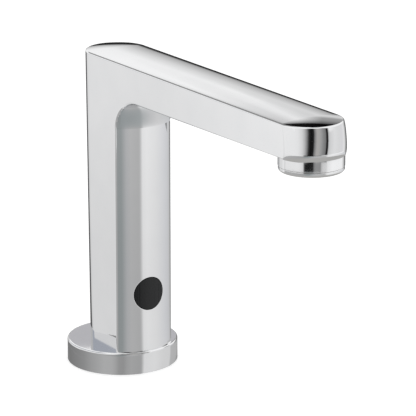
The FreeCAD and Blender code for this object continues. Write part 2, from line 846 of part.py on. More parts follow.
def retainer_pieces():
    disc = rod("retainer_disc", "housing_radius - housing_wall / 2", "retainer_back", "housing_back",
               y="sensor_height", facing="front")
    ears = []
    holes = [rod("retainer_lead_hole", "lead_radius + lead_gap", "retainer_back", "housing_back",
                 "-lead_side", "sensor_height - lead_drop", "front")]
    screws = []
    for i, side in enumerate(("", "-")):
        x = side + "retainer_offset"
        z = "sensor_height + (%sretainer_offset)" % side
        ears.append(rod("retainer_ear_%d" % i, "retainer_boss", "retainer_back", "housing_back", x, z, "front"))
        holes.append(rod("ear_hole_%d" % i, "retainer_screw + screw_gap", "retainer_back", "housing_back",
                         x, z, "front"))
        corners = [("0", "retainer_back - retainer_head_height"),
                   ("retainer_screw_head", "retainer_back - retainer_head_height"),
                   ("retainer_screw_head", "retainer_back"), ("retainer_screw", "retainer_back"),
                   ("retainer_screw", "housing_back + retainer_screw_grip"),
                   ("0", "housing_back + retainer_screw_grip")]
        screws.append(turned("retainer_screw_%d" % i, corners, x, z=z, facing="front"))
    arm = doc.addObject("Part::Box", "retainer_arm")
    arm.setExpression("Length", bound("retainer_offset * 2 * sqrt(2)"))
    arm.setExpression("Width", bound("retainer_thickness"))
    arm.setExpression("Height", bound("retainer_boss * 2"))
    arm.Placement.Rotation = FreeCAD.Rotation(Vec(0, 1, 0), -45)
    corner = "retainer_boss * sqrt(2) / 2"
    arm.setExpression("Placement.Base.x", bound("%s - retainer_offset" % corner))
    arm.setExpression("Placement.Base.y", bound("-housing_back"))
    arm.setExpression("Placement.Base.z", bound("sensor_height - retainer_offset - %s" % corner))
    node(carve("sensor_retainer", join("retainer_plate", disc, arm, *ears), *holes))
    node(several("retainer_screws", *screws))


# ---- valve ----


def valve_turned(label, corners):
    return turned(label, corners, y="valve_back")


def valve_body():
    skirt_radius = "diaphragm_radius + skirt_wall"
    skirt = rod("valve_skirt", skirt_radius, "valve_floor", "block_top", y="valve_back")
    back = rod("block_back", "block_side", "block_floor", "block_top", y="block_centre")
    front = slab("block_front", ("-block_side", "-block_forward", "block_floor"),
                 ("block_side", "block_centre", "block_top"))
    bowl = rod("diaphragm_seat", "diaphragm_radius", "valve_floor", "seat_level", y="valve_back")
    annulus = washer("inlet_annulus", "seat_bore + seat_wall", "chamber_radius", "seat_level", "gallery_roof",
                     y="valve_back")
    outlet = valve_turned("outlet_way", [("0", "seat_level"), ("seat_bore", "seat_level"),
                                         ("seat_bore", "outlet_step"), ("hose_radius + fit_gap", "outlet_step"),
                                         ("hose_radius + fit_gap", "block_top"), ("0", "block_top")])
    groove = washer("hose_groove", "hose_radius", "hose_radius + hose_seal_wire * 2 + fit_gap",
                    "outlet_step + hose_seal_wire * 2", "outlet_step + hose_seal_wire * 4 + fit_gap", y="valve_back")
    socket = rod("riser_socket", "riser_radius + oring_gap", "block_floor", "riser_top", y="-inlet_forward")
    ring_room = washer("block_groove", "riser_radius", "groove_radius", "block_floor + oring_inset",
                       "block_floor + oring_inset + groove_height", y="-inlet_forward")
    way = "riser_radius - riser_wall"
    rise = rod("inlet_way", way, "riser_top", "gallery_roof", y="-inlet_forward")
    gallery = rod("inlet_gallery", "gallery_bore", "seat_bore + seat_wall / 2 - valve_back", "inlet_forward",
                  y="(riser_top + gallery_roof) / 2", facing="front")
    gallery_keep = rod("seat_keep", "seat_bore + seat_wall", "riser_top", "gallery_roof", y="valve_back")
    gallery = carve("gallery_room", gallery, gallery_keep)
    studs = [rod("pillar_thread_%d" % i, "pillar_screw_radius + screw_gap", "block_floor",
                 "block_floor + pillar_stud_length + screw_gap", x, y) for i, (x, y) in enumerate(pillar_seats())]
    stock = join("valve_stock", skirt, back, front)
    return node(carve("valve_body", stock, bowl, annulus, outlet, groove, socket, ring_room, rise, gallery, *studs))


def valve_pieces():
    edge = "diaphragm_radius - valve_gap"
    node(washer("diaphragm", "insert_stem", edge, "bonnet_top", "seat_level", y="valve_back"))
    node(valve_turned("diaphragm_insert", [("pilot_bore", "insert_foot"), ("insert_radius", "insert_foot"),
                                           ("insert_radius", "bonnet_top"), ("insert_stem", "bonnet_top"),
                                           ("insert_stem", "bonnet_top + stem_length"),
                                           ("pilot_bore", "bonnet_top + stem_length")]))
    # the guide tube, whose cupped flange is the pilot chamber
    node(valve_turned("guide_tube", [("0", "stub_foot"), ("stub_radius", "stub_foot"), ("stub_radius", "coil_foot"),
                                     ("guide_radius", "coil_foot"), ("guide_radius", "ring_top"),
                                     (edge, "ring_top"), (edge, "bonnet_top"), ("chamber_radius", "bonnet_top"),
                                     ("chamber_radius", "ring_top + bonnet_floor"),
                                     ("guide_bore", "ring_top + bonnet_floor"), ("guide_bore", "guide_bottom"),
                                     ("0", "guide_bottom")]))
    node(washer("bonnet_ring", "guide_radius + fit_gap", edge, "valve_floor", "ring_top", y="valve_back"))
    node(ring("hose_seal", "hose_radius + hose_seal_wire + valve_gap", "hose_seal_wire",
              "outlet_step + hose_seal_wire * 3 + valve_gap", y="valve_back"))


def solenoid_pieces():
    slide = "guide_bore - plunger_gap"
    node(valve_turned("plunger", [("plunger_bore", "plunger_foot"), (slide, "plunger_foot"), (slide, "plunger_top"),
                                  ("seal_radius", "plunger_top"), ("seal_radius", "plunger_top - seal_pocket"),
                                  ("0", "plunger_top - seal_pocket"), ("0", "plunger_bore_top"),
                                  ("plunger_bore", "plunger_bore_top")]))
    node(rod("plunger_seal", "seal_radius", "plunger_top - seal_pocket", "insert_foot", y="valve_back"))
    node(coil_spring("plunger_spring", "spring_radius", "spring_wire", "spring_turns", "pole_top",
                     "plunger_bore_top", get("valve_back")))
    node(rod("pole_piece", slide, "magnet_top", "pole_top", y="valve_back"))
    node(rod("latching_magnet", slide, "guide_bottom", "magnet_top", y="valve_back"))
    core = "guide_radius + fit_gap + bobbin_wall"
    cheek = "can_radius - can_side_wall - fit_gap"
    node(valve_turned("coil_bobbin", [("guide_radius + fit_gap", "coil_foot"), (cheek, "coil_foot"),
                                      (cheek, "coil_foot + bobbin_flange"), (core, "coil_foot + bobbin_flange"),
                                      (core, "valve_floor - bobbin_flange"), (cheek, "valve_floor - bobbin_flange"),
                                      (cheek, "valve_floor"), ("guide_radius + fit_gap", "valve_floor")]))
    node(washer("coil_winding", core, "winding_radius", "coil_foot + bobbin_flange", "valve_floor - bobbin_flange",
                y="valve_back"))
    inner = "can_radius - can_side_wall"
    can = valve_turned("can_cup", [("stub_radius + fit_gap", "can_foot"), ("can_radius", "can_foot"),
                                   ("can_radius", "valve_floor"), (inner, "valve_floor"), (inner, "coil_foot"),
                                   ("stub_radius + fit_gap", "coil_foot")])
    lead_hole = rod("can_lead_hole", "lead_radius + lead_gap", "can_foot", "coil_foot", "coil_lead_side", "valve_back")
    node(carve("coil_can", can, lead_hole))
    nut = doc.addObject("Part::Prism", "coil_nut_blank")
    nut.Polygon = 6
    nut.setExpression("Circumradius", bound("coil_nut_corner"))
    nut.setExpression("Height", bound("coil_nut_height"))
    stand(nut, "0", "valve_back", "nut_foot", "up")
    node(carve("coil_nut", nut, rod("nut_thread", "stub_radius + screw_gap", "nut_foot", "can_foot", y="valve_back")))


# ---- inlet ----


def inlet_turned(label, corners):
    return turned(label, corners, y="-inlet_forward")


def inlet_pieces():
    seat = "riser_radius + oring_gap"
    groove = "riser_foot + oring_inset"
    node(inlet_turned("inlet_fitting", [("thread_bore", "0"), ("fitting_radius", "0"),
                                        ("fitting_radius", "clip_level"), ("clip_groove", "clip_level"),
                                        ("clip_groove", "clip_top"), ("fitting_radius", "clip_top"),
                                        ("fitting_radius", "spigot_top"), ("fitting_shoulder", "spigot_top"),
                                        ("fitting_shoulder", "spigot_top + shoulder_height"),
                                        ("fitting_radius", "spigot_top + shoulder_height"),
                                        ("fitting_radius", "fitting_top"), (seat, "fitting_top"),
                                        (seat, groove + " + groove_height"), ("groove_radius", groove + " + groove_height"),
                                        ("groove_radius", groove), (seat, groove), (seat, "riser_foot"),
                                        ("fitting_passage", "riser_foot"), ("fitting_passage", "chamber_top"),
                                        ("chamber_bore", "chamber_top"), ("chamber_bore", "thread_depth"),
                                        ("thread_bore", "thread_depth")]))
    clip = washer("clip_ring", "clip_groove", "clip_radius", "clip_level", "clip_top", y="-inlet_forward")
    gap = slab("clip_gap", ("-clip_opening / 2", "-inlet_forward - clip_radius - 1", "clip_level"),
               ("clip_opening / 2", "-inlet_forward", "clip_top"))
    node(carve("inlet_clip", clip, gap))
    fit = "chamber_bore - fit_gap"
    node(inlet_turned("check_valve_cage", [("cage_bore", "cage_foot"), (fit, "cage_foot"), (fit, "chamber_top"),
                                           (fit + " - cage_wall", "chamber_top"), (fit + " - cage_wall", "poppet_foot"),
                                           ("cage_bore", "poppet_foot")]))
    node(inlet_turned("check_valve_poppet", [("0", "poppet_foot"), ("poppet_radius", "poppet_foot"),
                                             ("poppet_radius", "poppet_top"), ("poppet_stem", "poppet_top"),
                                             ("poppet_stem", "poppet_top + poppet_stem_length"),
                                             ("0", "poppet_top + poppet_stem_length")]))
    node(coil_spring("check_valve_spring", "check_spring_radius", "check_spring_wire", "check_spring_turns",
                     "poppet_top", "chamber_top", -get("inlet_forward")))
    cup = inlet_turned("filter_cup", [("0", "filter_top - filter_depth"), ("filter_radius", "filter_top - filter_depth"),
                                      ("filter_radius", "filter_top - filter_rim"), (fit, "filter_top - filter_rim"),
                                      (fit, "filter_top"), ("filter_radius - filter_wall", "filter_top"),
                                      ("filter_radius - filter_wall", "filter_top - filter_depth + filter_wall"),
                                      ("0", "filter_top - filter_depth + filter_wall")])
    holes = []
    for i in range(6):
        angle = 60 * i
        holes.append(rod("filter_hole_%d" % i, "filter_wall", "filter_top - filter_depth",
                         "filter_top - filter_depth + filter_wall", "filter_radius * 0.55 * cos(%d deg)" % angle,
                         "-inlet_forward + filter_radius * 0.55 * sin(%d deg)" % angle))
    node(carve("inlet_filter", cup, *holes))
    node(washer("riser_tube", "riser_radius - riser_wall", "riser_radius", "riser_foot", "riser_top",
                y="-inlet_forward"))
    seals = [ring("riser_seal_%d" % i, "riser_radius + oring_gap + oring_wire", "oring_wire",
                  "%s + oring_inset + oring_wire + oring_gap" % seat_level, y="-inlet_forward")
             for i, seat_level in enumerate(("riser_foot", "block_floor"))]
    node(several("riser_seals", *seals))


# ---- outlet ----


def outlet_turned(label, corners):
    return turned(label, corners, y="-reach_length")


def waterway_hose():
    # up from the valve, round one bend and along the spout to the outlet
    axis = get("valve_back")
    high = get("hose_level")
    end = get("adaptor_radius") + get("fit_gap") - get("reach_length")
    points = [Vec(0, axis, get("outlet_step")), Vec(0, axis, high), Vec(0, end, high)]
    bend = [get("hose_bend")]
    shape = piped(points, bend, get("hose_radius")).cut(piped(points, bend, get("hose_bore")))
    return node(computed("waterway_hose", shape.Solids[0]))


def outlet_adaptor():
    groove = "adaptor_foot + adaptor_ring_wire"
    groove_top = groove + " + adaptor_ring_wire * 2 + oring_gap * 2"
    plug = outlet_turned("adaptor_plug", [("0", "adaptor_foot"), ("adaptor_radius", "adaptor_foot"),
                                          ("adaptor_radius", groove), ("adaptor_groove", groove),
                                          ("adaptor_groove", groove_top), ("adaptor_radius", groove_top),
                                          ("adaptor_radius", "spout_roof"), ("0", "spout_roof")])
    back = "reach_length - adaptor_radius - nipple_length"
    nipple = rod("adaptor_nipple", "hose_bore - fit_gap / 2", back, "reach_length",
                 y="hose_level", facing="front")
    well = rod("adaptor_well", "adaptor_bore", "adaptor_foot", "spout_roof - adaptor_web", y="-reach_length")
    way = rod("nipple_way", "hose_bore - nipple_wall", back, "reach_length", y="hose_level", facing="front")
    node(carve("outlet_adaptor", join("adaptor_stock", plug, nipple), well, way))
    node(ring("outlet_seal", "adaptor_radius - adaptor_ring_wire + valve_gap", "adaptor_ring_wire",
              groove + " + adaptor_ring_wire + oring_gap", y="-reach_length"))


def aerator_screen():
    # a moulded honeycomb face: hexagonal cells on a triangular grid
    radius = get("ring_bore") - get("valve_gap")
    cell = get("screen_cell")
    pitch = cell + get("screen_rib")
    corner = cell / math.sqrt(3)
    foot = get("screen_foot")
    open_radius = get("ring_lip_bore") - get("screen_rib")
    centre = Vec(0, -get("reach_length"), foot)
    outline = Part.Wire([Part.makeCircle(radius, centre)])
    cells = []
    rows = int(open_radius / pitch) + 1
    for row in range(-rows, rows + 1):
        for place in range(-rows, rows + 1):
            x = pitch * (place + 0.5 * (row % 2))
            y = pitch * row * math.sqrt(3) / 2
            if math.hypot(x, y) + corner < open_radius:
                points = [centre + Vec(x + corner * math.sin(math.radians(60 * i)),
                                       y + corner * math.cos(math.radians(60 * i)), 0) for i in range(7)]
                cells.append(Part.makePolygon(points))
    face = Part.Face(outline).cut([Part.Face(cell_wire) for cell_wire in cells])
    shape = face.extrude(UP * get("screen_thickness"))
    return node(computed("aerator_screen", shape.Solids[0]))


def aerator_pieces():
    node(outlet_turned("aerator_ring", [("ring_lip_bore", "ring_foot"), ("ring_radius - ring_chamfer", "ring_foot"),
                                        ("ring_radius", "ring_foot + ring_chamfer"), ("ring_radius", "collar_foot"),
                                        ("ring_thread", "collar_foot"), ("ring_thread", "collar_foot + ring_thread_height"),
                                        ("ring_bore", "collar_foot + ring_thread_height"), ("ring_bore", "screen_foot"),
                                        ("ring_lip_bore", "screen_foot")]))
    edge = "ring_bore - valve_gap"
    cup = outlet_turned("cartridge_cup", [(edge + " - cartridge_wall", "cartridge_foot"), (edge, "cartridge_foot"),
                                          (edge, "cartridge_top"), ("regulator_radius", "cartridge_top"),
                                          ("regulator_radius", "cartridge_top - regulator_height"),
                                          ("0", "cartridge_top - regulator_height"),
                                          ("0", "cartridge_top - cartridge_plate"),
                                          (edge + " - cartridge_wall", "cartridge_top - cartridge_plate")])
    holes = []
    for i in range(8):
        angle = 45 * i
        holes.append(rod("cartridge_hole_%d" % i, "cartridge_plate / 3", "cartridge_top - cartridge_plate",
                         "cartridge_top", "washer_bore * 0.8 * cos(%d deg)" % angle,
                         "-reach_length + washer_bore * 0.8 * sin(%d deg)" % angle))
    holes.append(rod("cartridge_centre", "regulator_radius / 3", "cartridge_top - cartridge_plate", "cartridge_top",
                     y="-reach_length"))
    node(carve("aerator_cartridge", cup, *holes))
    node(washer("flow_regulator", "regulator_radius / 3", "regulator_radius - valve_gap",
                "cartridge_top - regulator_height", "cartridge_top", y="-reach_length"))
    node(washer("aerator_washer", "washer_bore", edge, "cartridge_top", "adaptor_foot", y="-reach_length"))


# ---- leads ----


def lead(label, points):
    shape = piped(points, cord_radii(points), get("lead_radius"))
    length = shape.Volume / (math.pi * get("lead_radius") ** 2)
    print("%s: %.1f mm long, bends %s" % (label, length, ", ".join("%.1f" % r for r in cord_radii(points))))
    return node(computed(label, shape))


def leads():
    # both run to the top of the connector in the base
    thick = get("lead_radius")
    over = get("fitting_top") + thick + 3 * get("lead_gap")
    axis = get("valve_back")
    side = get("lead_side")
    down = get("sensor_height") - get("lead_drop")
    behind = (get("retainer_back") + get("pillar_forward")) / 2 - 0.5
    into = get("connector_lead_side")
    top = get("connector_top")
    lead("sensor_lead", [Vec(-side, -get("housing_floor"), down), Vec(-side, -behind, down),
                         Vec(-side, -behind, over), Vec(-into, axis, over), Vec(-into, axis, top)])
    out = get("coil_lead_side")
    drop = get("coil_foot") - top
    lead("coil_lead", [Vec(out, axis, get("coil_foot")), Vec(out, axis, top + 0.62 * drop),
                       Vec(into, axis, top + 0.3 * drop), Vec(into, axis, top)])


def check_and_export():
    for item in doc.Objects:
        assert "Invalid" not in item.State and "Error" not in item.State, "%s failed" % item.Name
    os.makedirs("parts", exist_ok=True)
    for piece in nodes:
        shape = piece.Shape
        assert not shape.isNull() and shape.isValid() and shape.Solids, "%s has no good shape" % piece.Label
        shape.exportStep(os.path.join("parts", piece.Label + ".step"))
        print("%-20s %2d solids %10.1f mm3" % (piece.Label, len(shape.Solids), shape.Volume))


fill_sheet()
doc.recompute()
set_levels()
doc.recompute()

tap_body()
base_flange()
base_pieces()
connector_pieces()
sensor_window()
sensor_pieces()
retainer_pieces()
valve_body()
valve_pieces()
solenoid_pieces()
inlet_pieces()
waterway_hose()
outlet_adaptor()
aerator_pieces()
aerator_screen()
leads()
doc.recompute()
check_and_export()
print("%d nodes" % len(nodes))
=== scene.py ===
import bpy
import json
import math
import bmesh
from mathutils import Matrix, Vector

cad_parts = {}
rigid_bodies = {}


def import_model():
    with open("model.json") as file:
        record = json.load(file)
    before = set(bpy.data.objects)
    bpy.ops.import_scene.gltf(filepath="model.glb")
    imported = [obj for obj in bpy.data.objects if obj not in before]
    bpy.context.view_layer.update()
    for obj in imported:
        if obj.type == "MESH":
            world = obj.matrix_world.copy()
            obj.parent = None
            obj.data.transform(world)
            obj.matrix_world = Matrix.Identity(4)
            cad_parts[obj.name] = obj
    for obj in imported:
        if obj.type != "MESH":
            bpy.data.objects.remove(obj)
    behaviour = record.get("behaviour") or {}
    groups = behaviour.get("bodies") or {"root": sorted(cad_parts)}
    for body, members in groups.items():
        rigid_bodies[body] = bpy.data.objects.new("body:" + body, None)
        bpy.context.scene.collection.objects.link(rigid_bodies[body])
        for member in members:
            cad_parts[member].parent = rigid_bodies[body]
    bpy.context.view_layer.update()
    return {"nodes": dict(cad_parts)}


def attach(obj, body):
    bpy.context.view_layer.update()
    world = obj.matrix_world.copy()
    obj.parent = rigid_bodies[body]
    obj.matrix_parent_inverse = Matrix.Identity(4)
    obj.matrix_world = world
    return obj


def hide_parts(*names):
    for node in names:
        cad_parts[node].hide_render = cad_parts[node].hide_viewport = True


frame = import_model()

# Sensor tap in chrome on a pale studio floor.  Metres; the spout points towards -Y.


# selecting and shaping in edit mode

close = 1e-5  # places nearer than this count as the same
merge = 1e-6  # points nearer than this are joined


def clearSelection():
    if bpy.context.mode != "OBJECT":
        bpy.ops.object.mode_set(mode="OBJECT")
    bpy.ops.object.select_all(action="DESELECT")


def editMode(piece):
    clearSelection()
    piece.select_set(True)
    bpy.context.view_layer.objects.active = piece
    bpy.ops.object.mode_set(mode="EDIT")
    bpy.ops.mesh.select_all(action="DESELECT")


def pickVerts(piece, place):
    # selects the points whose place passes the test, and no others
    mesh = bmesh.from_edit_mesh(piece.data)
    bpy.ops.mesh.select_mode(type="VERT")
    for point in mesh.verts:
        point.select_set(bool(place(point.co)))
    mesh.select_flush_mode()
    bmesh.update_edit_mesh(piece.data)


def pickParts(piece, kind, wanted):
    # selects the edges or faces that pass the test, and returns how many
    mesh = bmesh.from_edit_mesh(piece.data)
    bpy.ops.mesh.select_mode(type=kind)
    bpy.ops.mesh.select_all(action="DESELECT")
    chosen = [part for part in (mesh.edges if kind == "EDGE" else mesh.faces) if wanted(part)]
    for part in chosen:
        part.select_set(True)
    bmesh.update_edit_mesh(piece.data)
    return len(chosen)


def pickEdges(piece, wanted):
    return pickParts(piece, "EDGE", wanted)


def pickFaces(piece, wanted):
    pickParts(piece, "FACE", wanted)


def pullEdges(move, scale=None, centre=(0, 0, 0)):
    # extrudes the selected edges, then moves and scales the new row
    bpy.ops.mesh.extrude_edges_move(TRANSFORM_OT_translate={"value": move})
    if scale:
        bpy.ops.transform.resize(value=scale, center_override=centre)


def useModifier(piece, kind, **settings):
    clearSelection()
    piece.select_set(True)
    bpy.context.view_layer.objects.active = piece
    modifier = piece.modifiers.new(kind.title(), kind)
    for name, value in settings.items():
        setattr(modifier, name, value)
    bpy.ops.object.modifier_apply(modifier=modifier.name)


def cutWith(piece, cutter, operation="DIFFERENCE"):
    useModifier(piece, "BOOLEAN", object=cutter, operation=operation, solver="EXACT")
    bpy.data.objects.remove(cutter)


def settle(piece, name, smoothAngle=35):
    # applies the placing and gives clean machined shading
    clearSelection()
    piece.select_set(True)
    bpy.context.view_layer.objects.active = piece
    bpy.ops.object.transform_apply(location=True, rotation=True, scale=True)
    bpy.ops.object.shade_smooth_by_angle(angle=math.radians(smoothAngle))
    useModifier(piece, "WEIGHTED_NORMAL", mode="FACE_AREA", weight=100, keep_sharp=True)
    piece.name = name
    piece.data.name = name
    return piece


# the casting

body = {
    "halfWidth": 0.0154,
    "topHeight": 0.155,
    "crown": 0.001,
    "reach": 0.1593,
    "backTop": 0.0023,
    "backFoot": 0.0004,
    "foot": 0.011,
    "frontRadius": 0.0256,
    "frontArc": 39.5,  # degrees to each side
    "frontEdge": -0.02,  # the long front corners lie further forward
    "underside": 0.1378,
    "noseFoot": 0.1394,
    "fillet": 0.0155,
    "filletRows": 18,
    "filletRoom": -0.06,  # beyond it lies only the round end
    "roundPoints": 96,
    "frontPoints": 240,
    "topRound": 0.0007,
    "sideRound": 0.0012,
    "rimShift": 0.0021,
    # the round end's wall: each row's height, and how far back it lies
    "noseRows": [(0.1538, 0.00175), (0.1524, 0.00124), (0.1505, 0.00080), (0.1485, 0.00042),
                 (0.1466, 0.00016), (0.1447, 0.00002), (0.1428, 0.0), (0.1418, 0.00008), (0.1410, 0.00022),
                 (0.1404, 0.00042), (0.1399, 0.00068), (0.1394, 0.00105)],
    "crownRows": [0.0024, 0.0042, 0.0062, 0.0084, 0.0106, 0.0126, 0.0141, 0.0150],
    "windowHeight": 0.0397,
    "windowHole": 0.00815,
    "holeCut": (-0.032, -0.02),
    "holeRound": 0.0004,
    "collarRadius": 0.0148,
    "collarHeights": (0.1348, 0.142),
    "collarRound": 0.00025,
    "outletBore": 0.0115,
    "outletDepth": 0.005,
}


def crownHeight(inset):
    # the top's height above its rim, at a distance in from the rim
    half = body["halfWidth"]
    rise = body["crown"]
    radius = (half ** 2 + rise ** 2) / (2 * rise)
    return rise - radius + math.sqrt(radius ** 2 - (half - inset) ** 2)


def drawTop():
    # the top's outline: a circle whose back half is drawn out to the column
    reach = body["reach"]
    step = math.pi / body["roundPoints"]
    bpy.ops.mesh.primitive_circle_add(vertices=body["roundPoints"], radius=body["halfWidth"] / math.cos(step),
                                      fill_type="NGON", location=(0, -reach, body["topHeight"]),
                                      rotation=(0, 0, step))
    piece = bpy.context.object
    bpy.ops.object.transform_apply(location=True, rotation=True, scale=True)
    editMode(piece)
    pickVerts(piece, lambda at: at.y > -reach)
    bpy.ops.transform.translate(value=(0, reach + body["backTop"], 0))
    return piece


def drawEnds(piece):
    # the rounded end's wall, row by row, a little barrelled
    top = body["topHeight"]
    pickVerts(piece, lambda at: at.y < -body["reach"])
    height, shift = top, body["rimShift"]
    bpy.ops.transform.translate(value=(0, shift, 0))
    for rowHeight, rowShift in body["noseRows"]:
        pullEdges((0, rowShift - shift, rowHeight - height))
        height, shift = rowHeight, rowShift

    # the column's half-round back, leaning a little
    pickVerts(piece, lambda at: at.z > top - close and at.y > 0)
    pullEdges((0, body["backFoot"] - body["backTop"], body["foot"] - top))


def drawFront(piece):
    # the arched front, wider than the column, and the fillet out to the underside
    foot = body["foot"]
    front = body["frontRadius"]
    under = body["underside"]
    bend = body["fillet"]
    arcEnd = -front * math.cos(math.radians(body["frontArc"]))
    bpy.ops.mesh.select_all(action="DESELECT")
    bpy.ops.mesh.primitive_circle_add(vertices=body["frontPoints"], radius=front, fill_type="NOTHING",
                                      location=(0, 0, foot))
    pickVerts(piece, lambda at: at.z < foot + close and abs(at.xy.length - front) < close and at.y > arcEnd)
    bpy.ops.mesh.delete(type="VERT")
    pickVerts(piece, lambda at: at.z < foot + close and abs(at.xy.length - front) < close and at.y < arcEnd)
    pullEdges((0, 0, under - bend - foot))
    radius, height = front, under - bend
    for row in range(1, body["filletRows"] + 1):
        turn = math.radians(90 * row / body["filletRows"])
        newRadius = front + bend * (1 - math.cos(turn))
        newHeight = under - bend * (1 - math.sin(turn))
        wider = newRadius / radius
        pullEdges((0, 0, newHeight - height), (wider, wider, 1))
        radius, height = newRadius, newHeight
    for side in (1, -1):
        pickVerts(piece, lambda at: body["filletRoom"] < at.y < arcEnd + close and at.z < under + close)
        bpy.ops.mesh.bisect(plane_co=(side * body["halfWidth"], 0, 0), plane_no=(side, 0, 0),
                            clear_outer=True, threshold=merge)
    print("tap body: walls and fillet drawn")


def closeWalls(piece):
    # the flat sides, the round end's foot, the underside and the column's foot
    half = body["halfWidth"]
    foot = body["foot"]
    under = body["underside"]
    noseEdge = body["noseFoot"]
    filletEnd = -math.sqrt((body["frontRadius"] + body["fillet"]) ** 2 - half ** 2)
    for side in (1, -1):
        pickVerts(piece, lambda at: abs(at.x - side * half) < close and (
            abs(at.z - under) < close and abs(at.y - filletEnd) < 10 * close
            or abs(at.z - noseEdge) < close))
        bpy.ops.mesh.edge_face_add()
        pickVerts(piece, lambda at: abs(at.x - side * half) < close and at.z < foot + close)
        bpy.ops.mesh.edge_face_add()
        pickEdges(piece, lambda edge: len(edge.link_faces) < 2
                  and all(abs(point.co.x - side * half) < close for point in edge.verts))
        bpy.ops.mesh.edge_face_add()
    pickVerts(piece, lambda at: abs(abs(at.x) - half) < close and abs(at.z - noseEdge) < close)
    bpy.ops.mesh.edge_face_add()
    pickEdges(piece, lambda edge: len(edge.link_faces) < 2
              and all(abs(point.co.z - noseEdge) < close for point in edge.verts))
    bpy.ops.mesh.edge_face_add()
    pickEdges(piece, lambda edge: len(edge.link_faces) < 2
              and all(point.co.z > under - close for point in edge.verts))
    bpy.ops.mesh.edge_face_add()
    pickEdges(piece, lambda edge: all(point.co.z < foot + close for point in edge.verts))
    bpy.ops.mesh.edge_face_add()
    bpy.ops.mesh.select_mode(type="VERT")
    bpy.ops.mesh.select_all(action="SELECT")
    bpy.ops.mesh.remove_doubles(threshold=merge)
    bpy.ops.mesh.normals_make_consistent(inside=False)
    print("tap body: open edges", pickEdges(piece, lambda edge: len(edge.link_faces) != 2))


def raiseCrown(piece):
    # the crowned top, in rings that follow the outline
    half = body["halfWidth"]
    top = body["topHeight"]
    reach = body["reach"]
    depth = 0.0
    for inset in body["crownRows"]:
        lower = top + crownHeight(depth) - merge
        pickFaces(piece, lambda face: face.normal.z > 0.99 and face.calc_center_median().z > lower)
        bpy.ops.mesh.extrude_region_move(
            TRANSFORM_OT_translate={"value": (0, 0, crownHeight(inset) - crownHeight(depth))})
        share = (half - inset) / (half - depth)
        lower = top + crownHeight(inset) - merge
        pickVerts(piece, lambda at: at.z > lower and at.y < -reach / 2)
        bpy.ops.transform.resize(value=(share, share, 1), center_override=(0, body["rimShift"] - reach, 0))
        pickVerts(piece, lambda at: at.z > lower and at.y > 0)
        bpy.ops.transform.resize(value=(share, share, 1), center_override=(0, body["backTop"], 0))
        depth = inset


def roundEdges(piece):
    # the top's rim, then the long corners of front, fillet and underside
    half = body["halfWidth"]
    low = body["foot"] - close
    high = body["noseFoot"] + close
    pickEdges(piece, lambda edge: all(abs(point.co.z - body["topHeight"]) < close for point in edge.verts))
    bpy.ops.mesh.bevel(offset=body["topRound"], segments=6, affect="EDGES", clamp_overlap=False)
    pickEdges(piece, lambda edge: edge.is_manifold and edge.calc_face_angle(0) > math.radians(30)
              and all(abs(abs(point.co.x) - half) < close and point.co.y < body["frontEdge"]
                      and low < point.co.z < high for point in edge.verts))
    bpy.ops.mesh.bevel(offset=body["sideRound"], segments=4, affect="EDGES", clamp_overlap=False)
    bpy.ops.object.mode_set(mode="OBJECT")


def cutWindowHole(piece):
    # through the arched front, with its edge broken
    near, far = body["holeCut"]
    middle = Vector((0, 0, body["windowHeight"]))
    bpy.ops.mesh.primitive_cylinder_add(vertices=128, radius=body["windowHole"], depth=far - near,
                                        location=(0, (near + far) / 2, body["windowHeight"]),
                                        rotation=(math.radians(90), 0, 0))
    cutWith(piece, bpy.context.object)
    editMode(piece)
    pickEdges(piece, lambda edge: all(abs((point.co - middle).xz.length - body["windowHole"]) < 2 * close
              and abs(point.co.xy.length - body["frontRadius"]) < 2 * close for point in edge.verts))
    bpy.ops.mesh.bevel(offset=body["holeRound"], segments=2, affect="EDGES")
    bpy.ops.object.mode_set(mode="OBJECT")


def makeCollar():
    # the outlet's collar, bored from below
    low, high = body["collarHeights"]
    radius = body["collarRadius"]
    reach = body["reach"]
    bpy.ops.mesh.primitive_cylinder_add(vertices=128, radius=radius, depth=high - low, end_fill_type="NGON",
                                        location=(0, -reach, (low + high) / 2))
    collar = bpy.context.object
    bpy.ops.object.transform_apply(location=True, rotation=True, scale=True)
    editMode(collar)
    pickFaces(collar, lambda face: face.normal.z < -0.9)
    bpy.ops.mesh.inset(thickness=radius - body["outletBore"])
    bpy.ops.mesh.extrude_region_move(TRANSFORM_OT_translate={"value": (0, 0, body["outletDepth"])})
    pickEdges(collar, lambda edge: all(abs(point.co.z - low) < close and
              abs((point.co - Vector((0, -reach, point.co.z))).length - radius) < close
              for point in edge.verts))
    bpy.ops.mesh.bevel(offset=body["collarRound"], segments=2, affect="EDGES")
    bpy.ops.object.mode_set(mode="OBJECT")
    return collar


def joined(pieces):
    clearSelection()
    for piece in pieces:
        piece.select_set(True)
    bpy.context.view_layer.objects.active = pieces[0]
    bpy.ops.object.join()
    return pieces[0]


def makeTapBody():
    piece = drawTop()
    for step in (drawEnds, drawFront, closeWalls, raiseCrown, roundEdges, cutWindowHole):
        step(piece)
    return settle(joined([piece, makeCollar()]), "tapCasting")


tapBody = makeTapBody()
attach(tapBody, "tap")
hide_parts("tap_body")
print("tap body done")


# turned pieces

def turnRows(rows, centre=(0, 0), points=144, fill="NOTHING"):
    # a turned piece, drawn from (radius, height) to (radius, height)
    radius, height = rows[0]
    clearSelection()
    bpy.ops.mesh.primitive_circle_add(vertices=points, radius=radius, fill_type=fill,
                                      location=(centre[0], centre[1], height))
    piece = bpy.context.object
    bpy.ops.object.transform_apply(location=True, rotation=True, scale=True)
    editMode(piece)
    pickEdges(piece, lambda edge: True)
    for newRadius, newHeight in rows[1:]:
        wider = newRadius / radius
        pullEdges((0, 0, newHeight - height), (wider, wider, 1), (centre[0], centre[1], 0))
        radius, height = newRadius, newHeight
    return piece


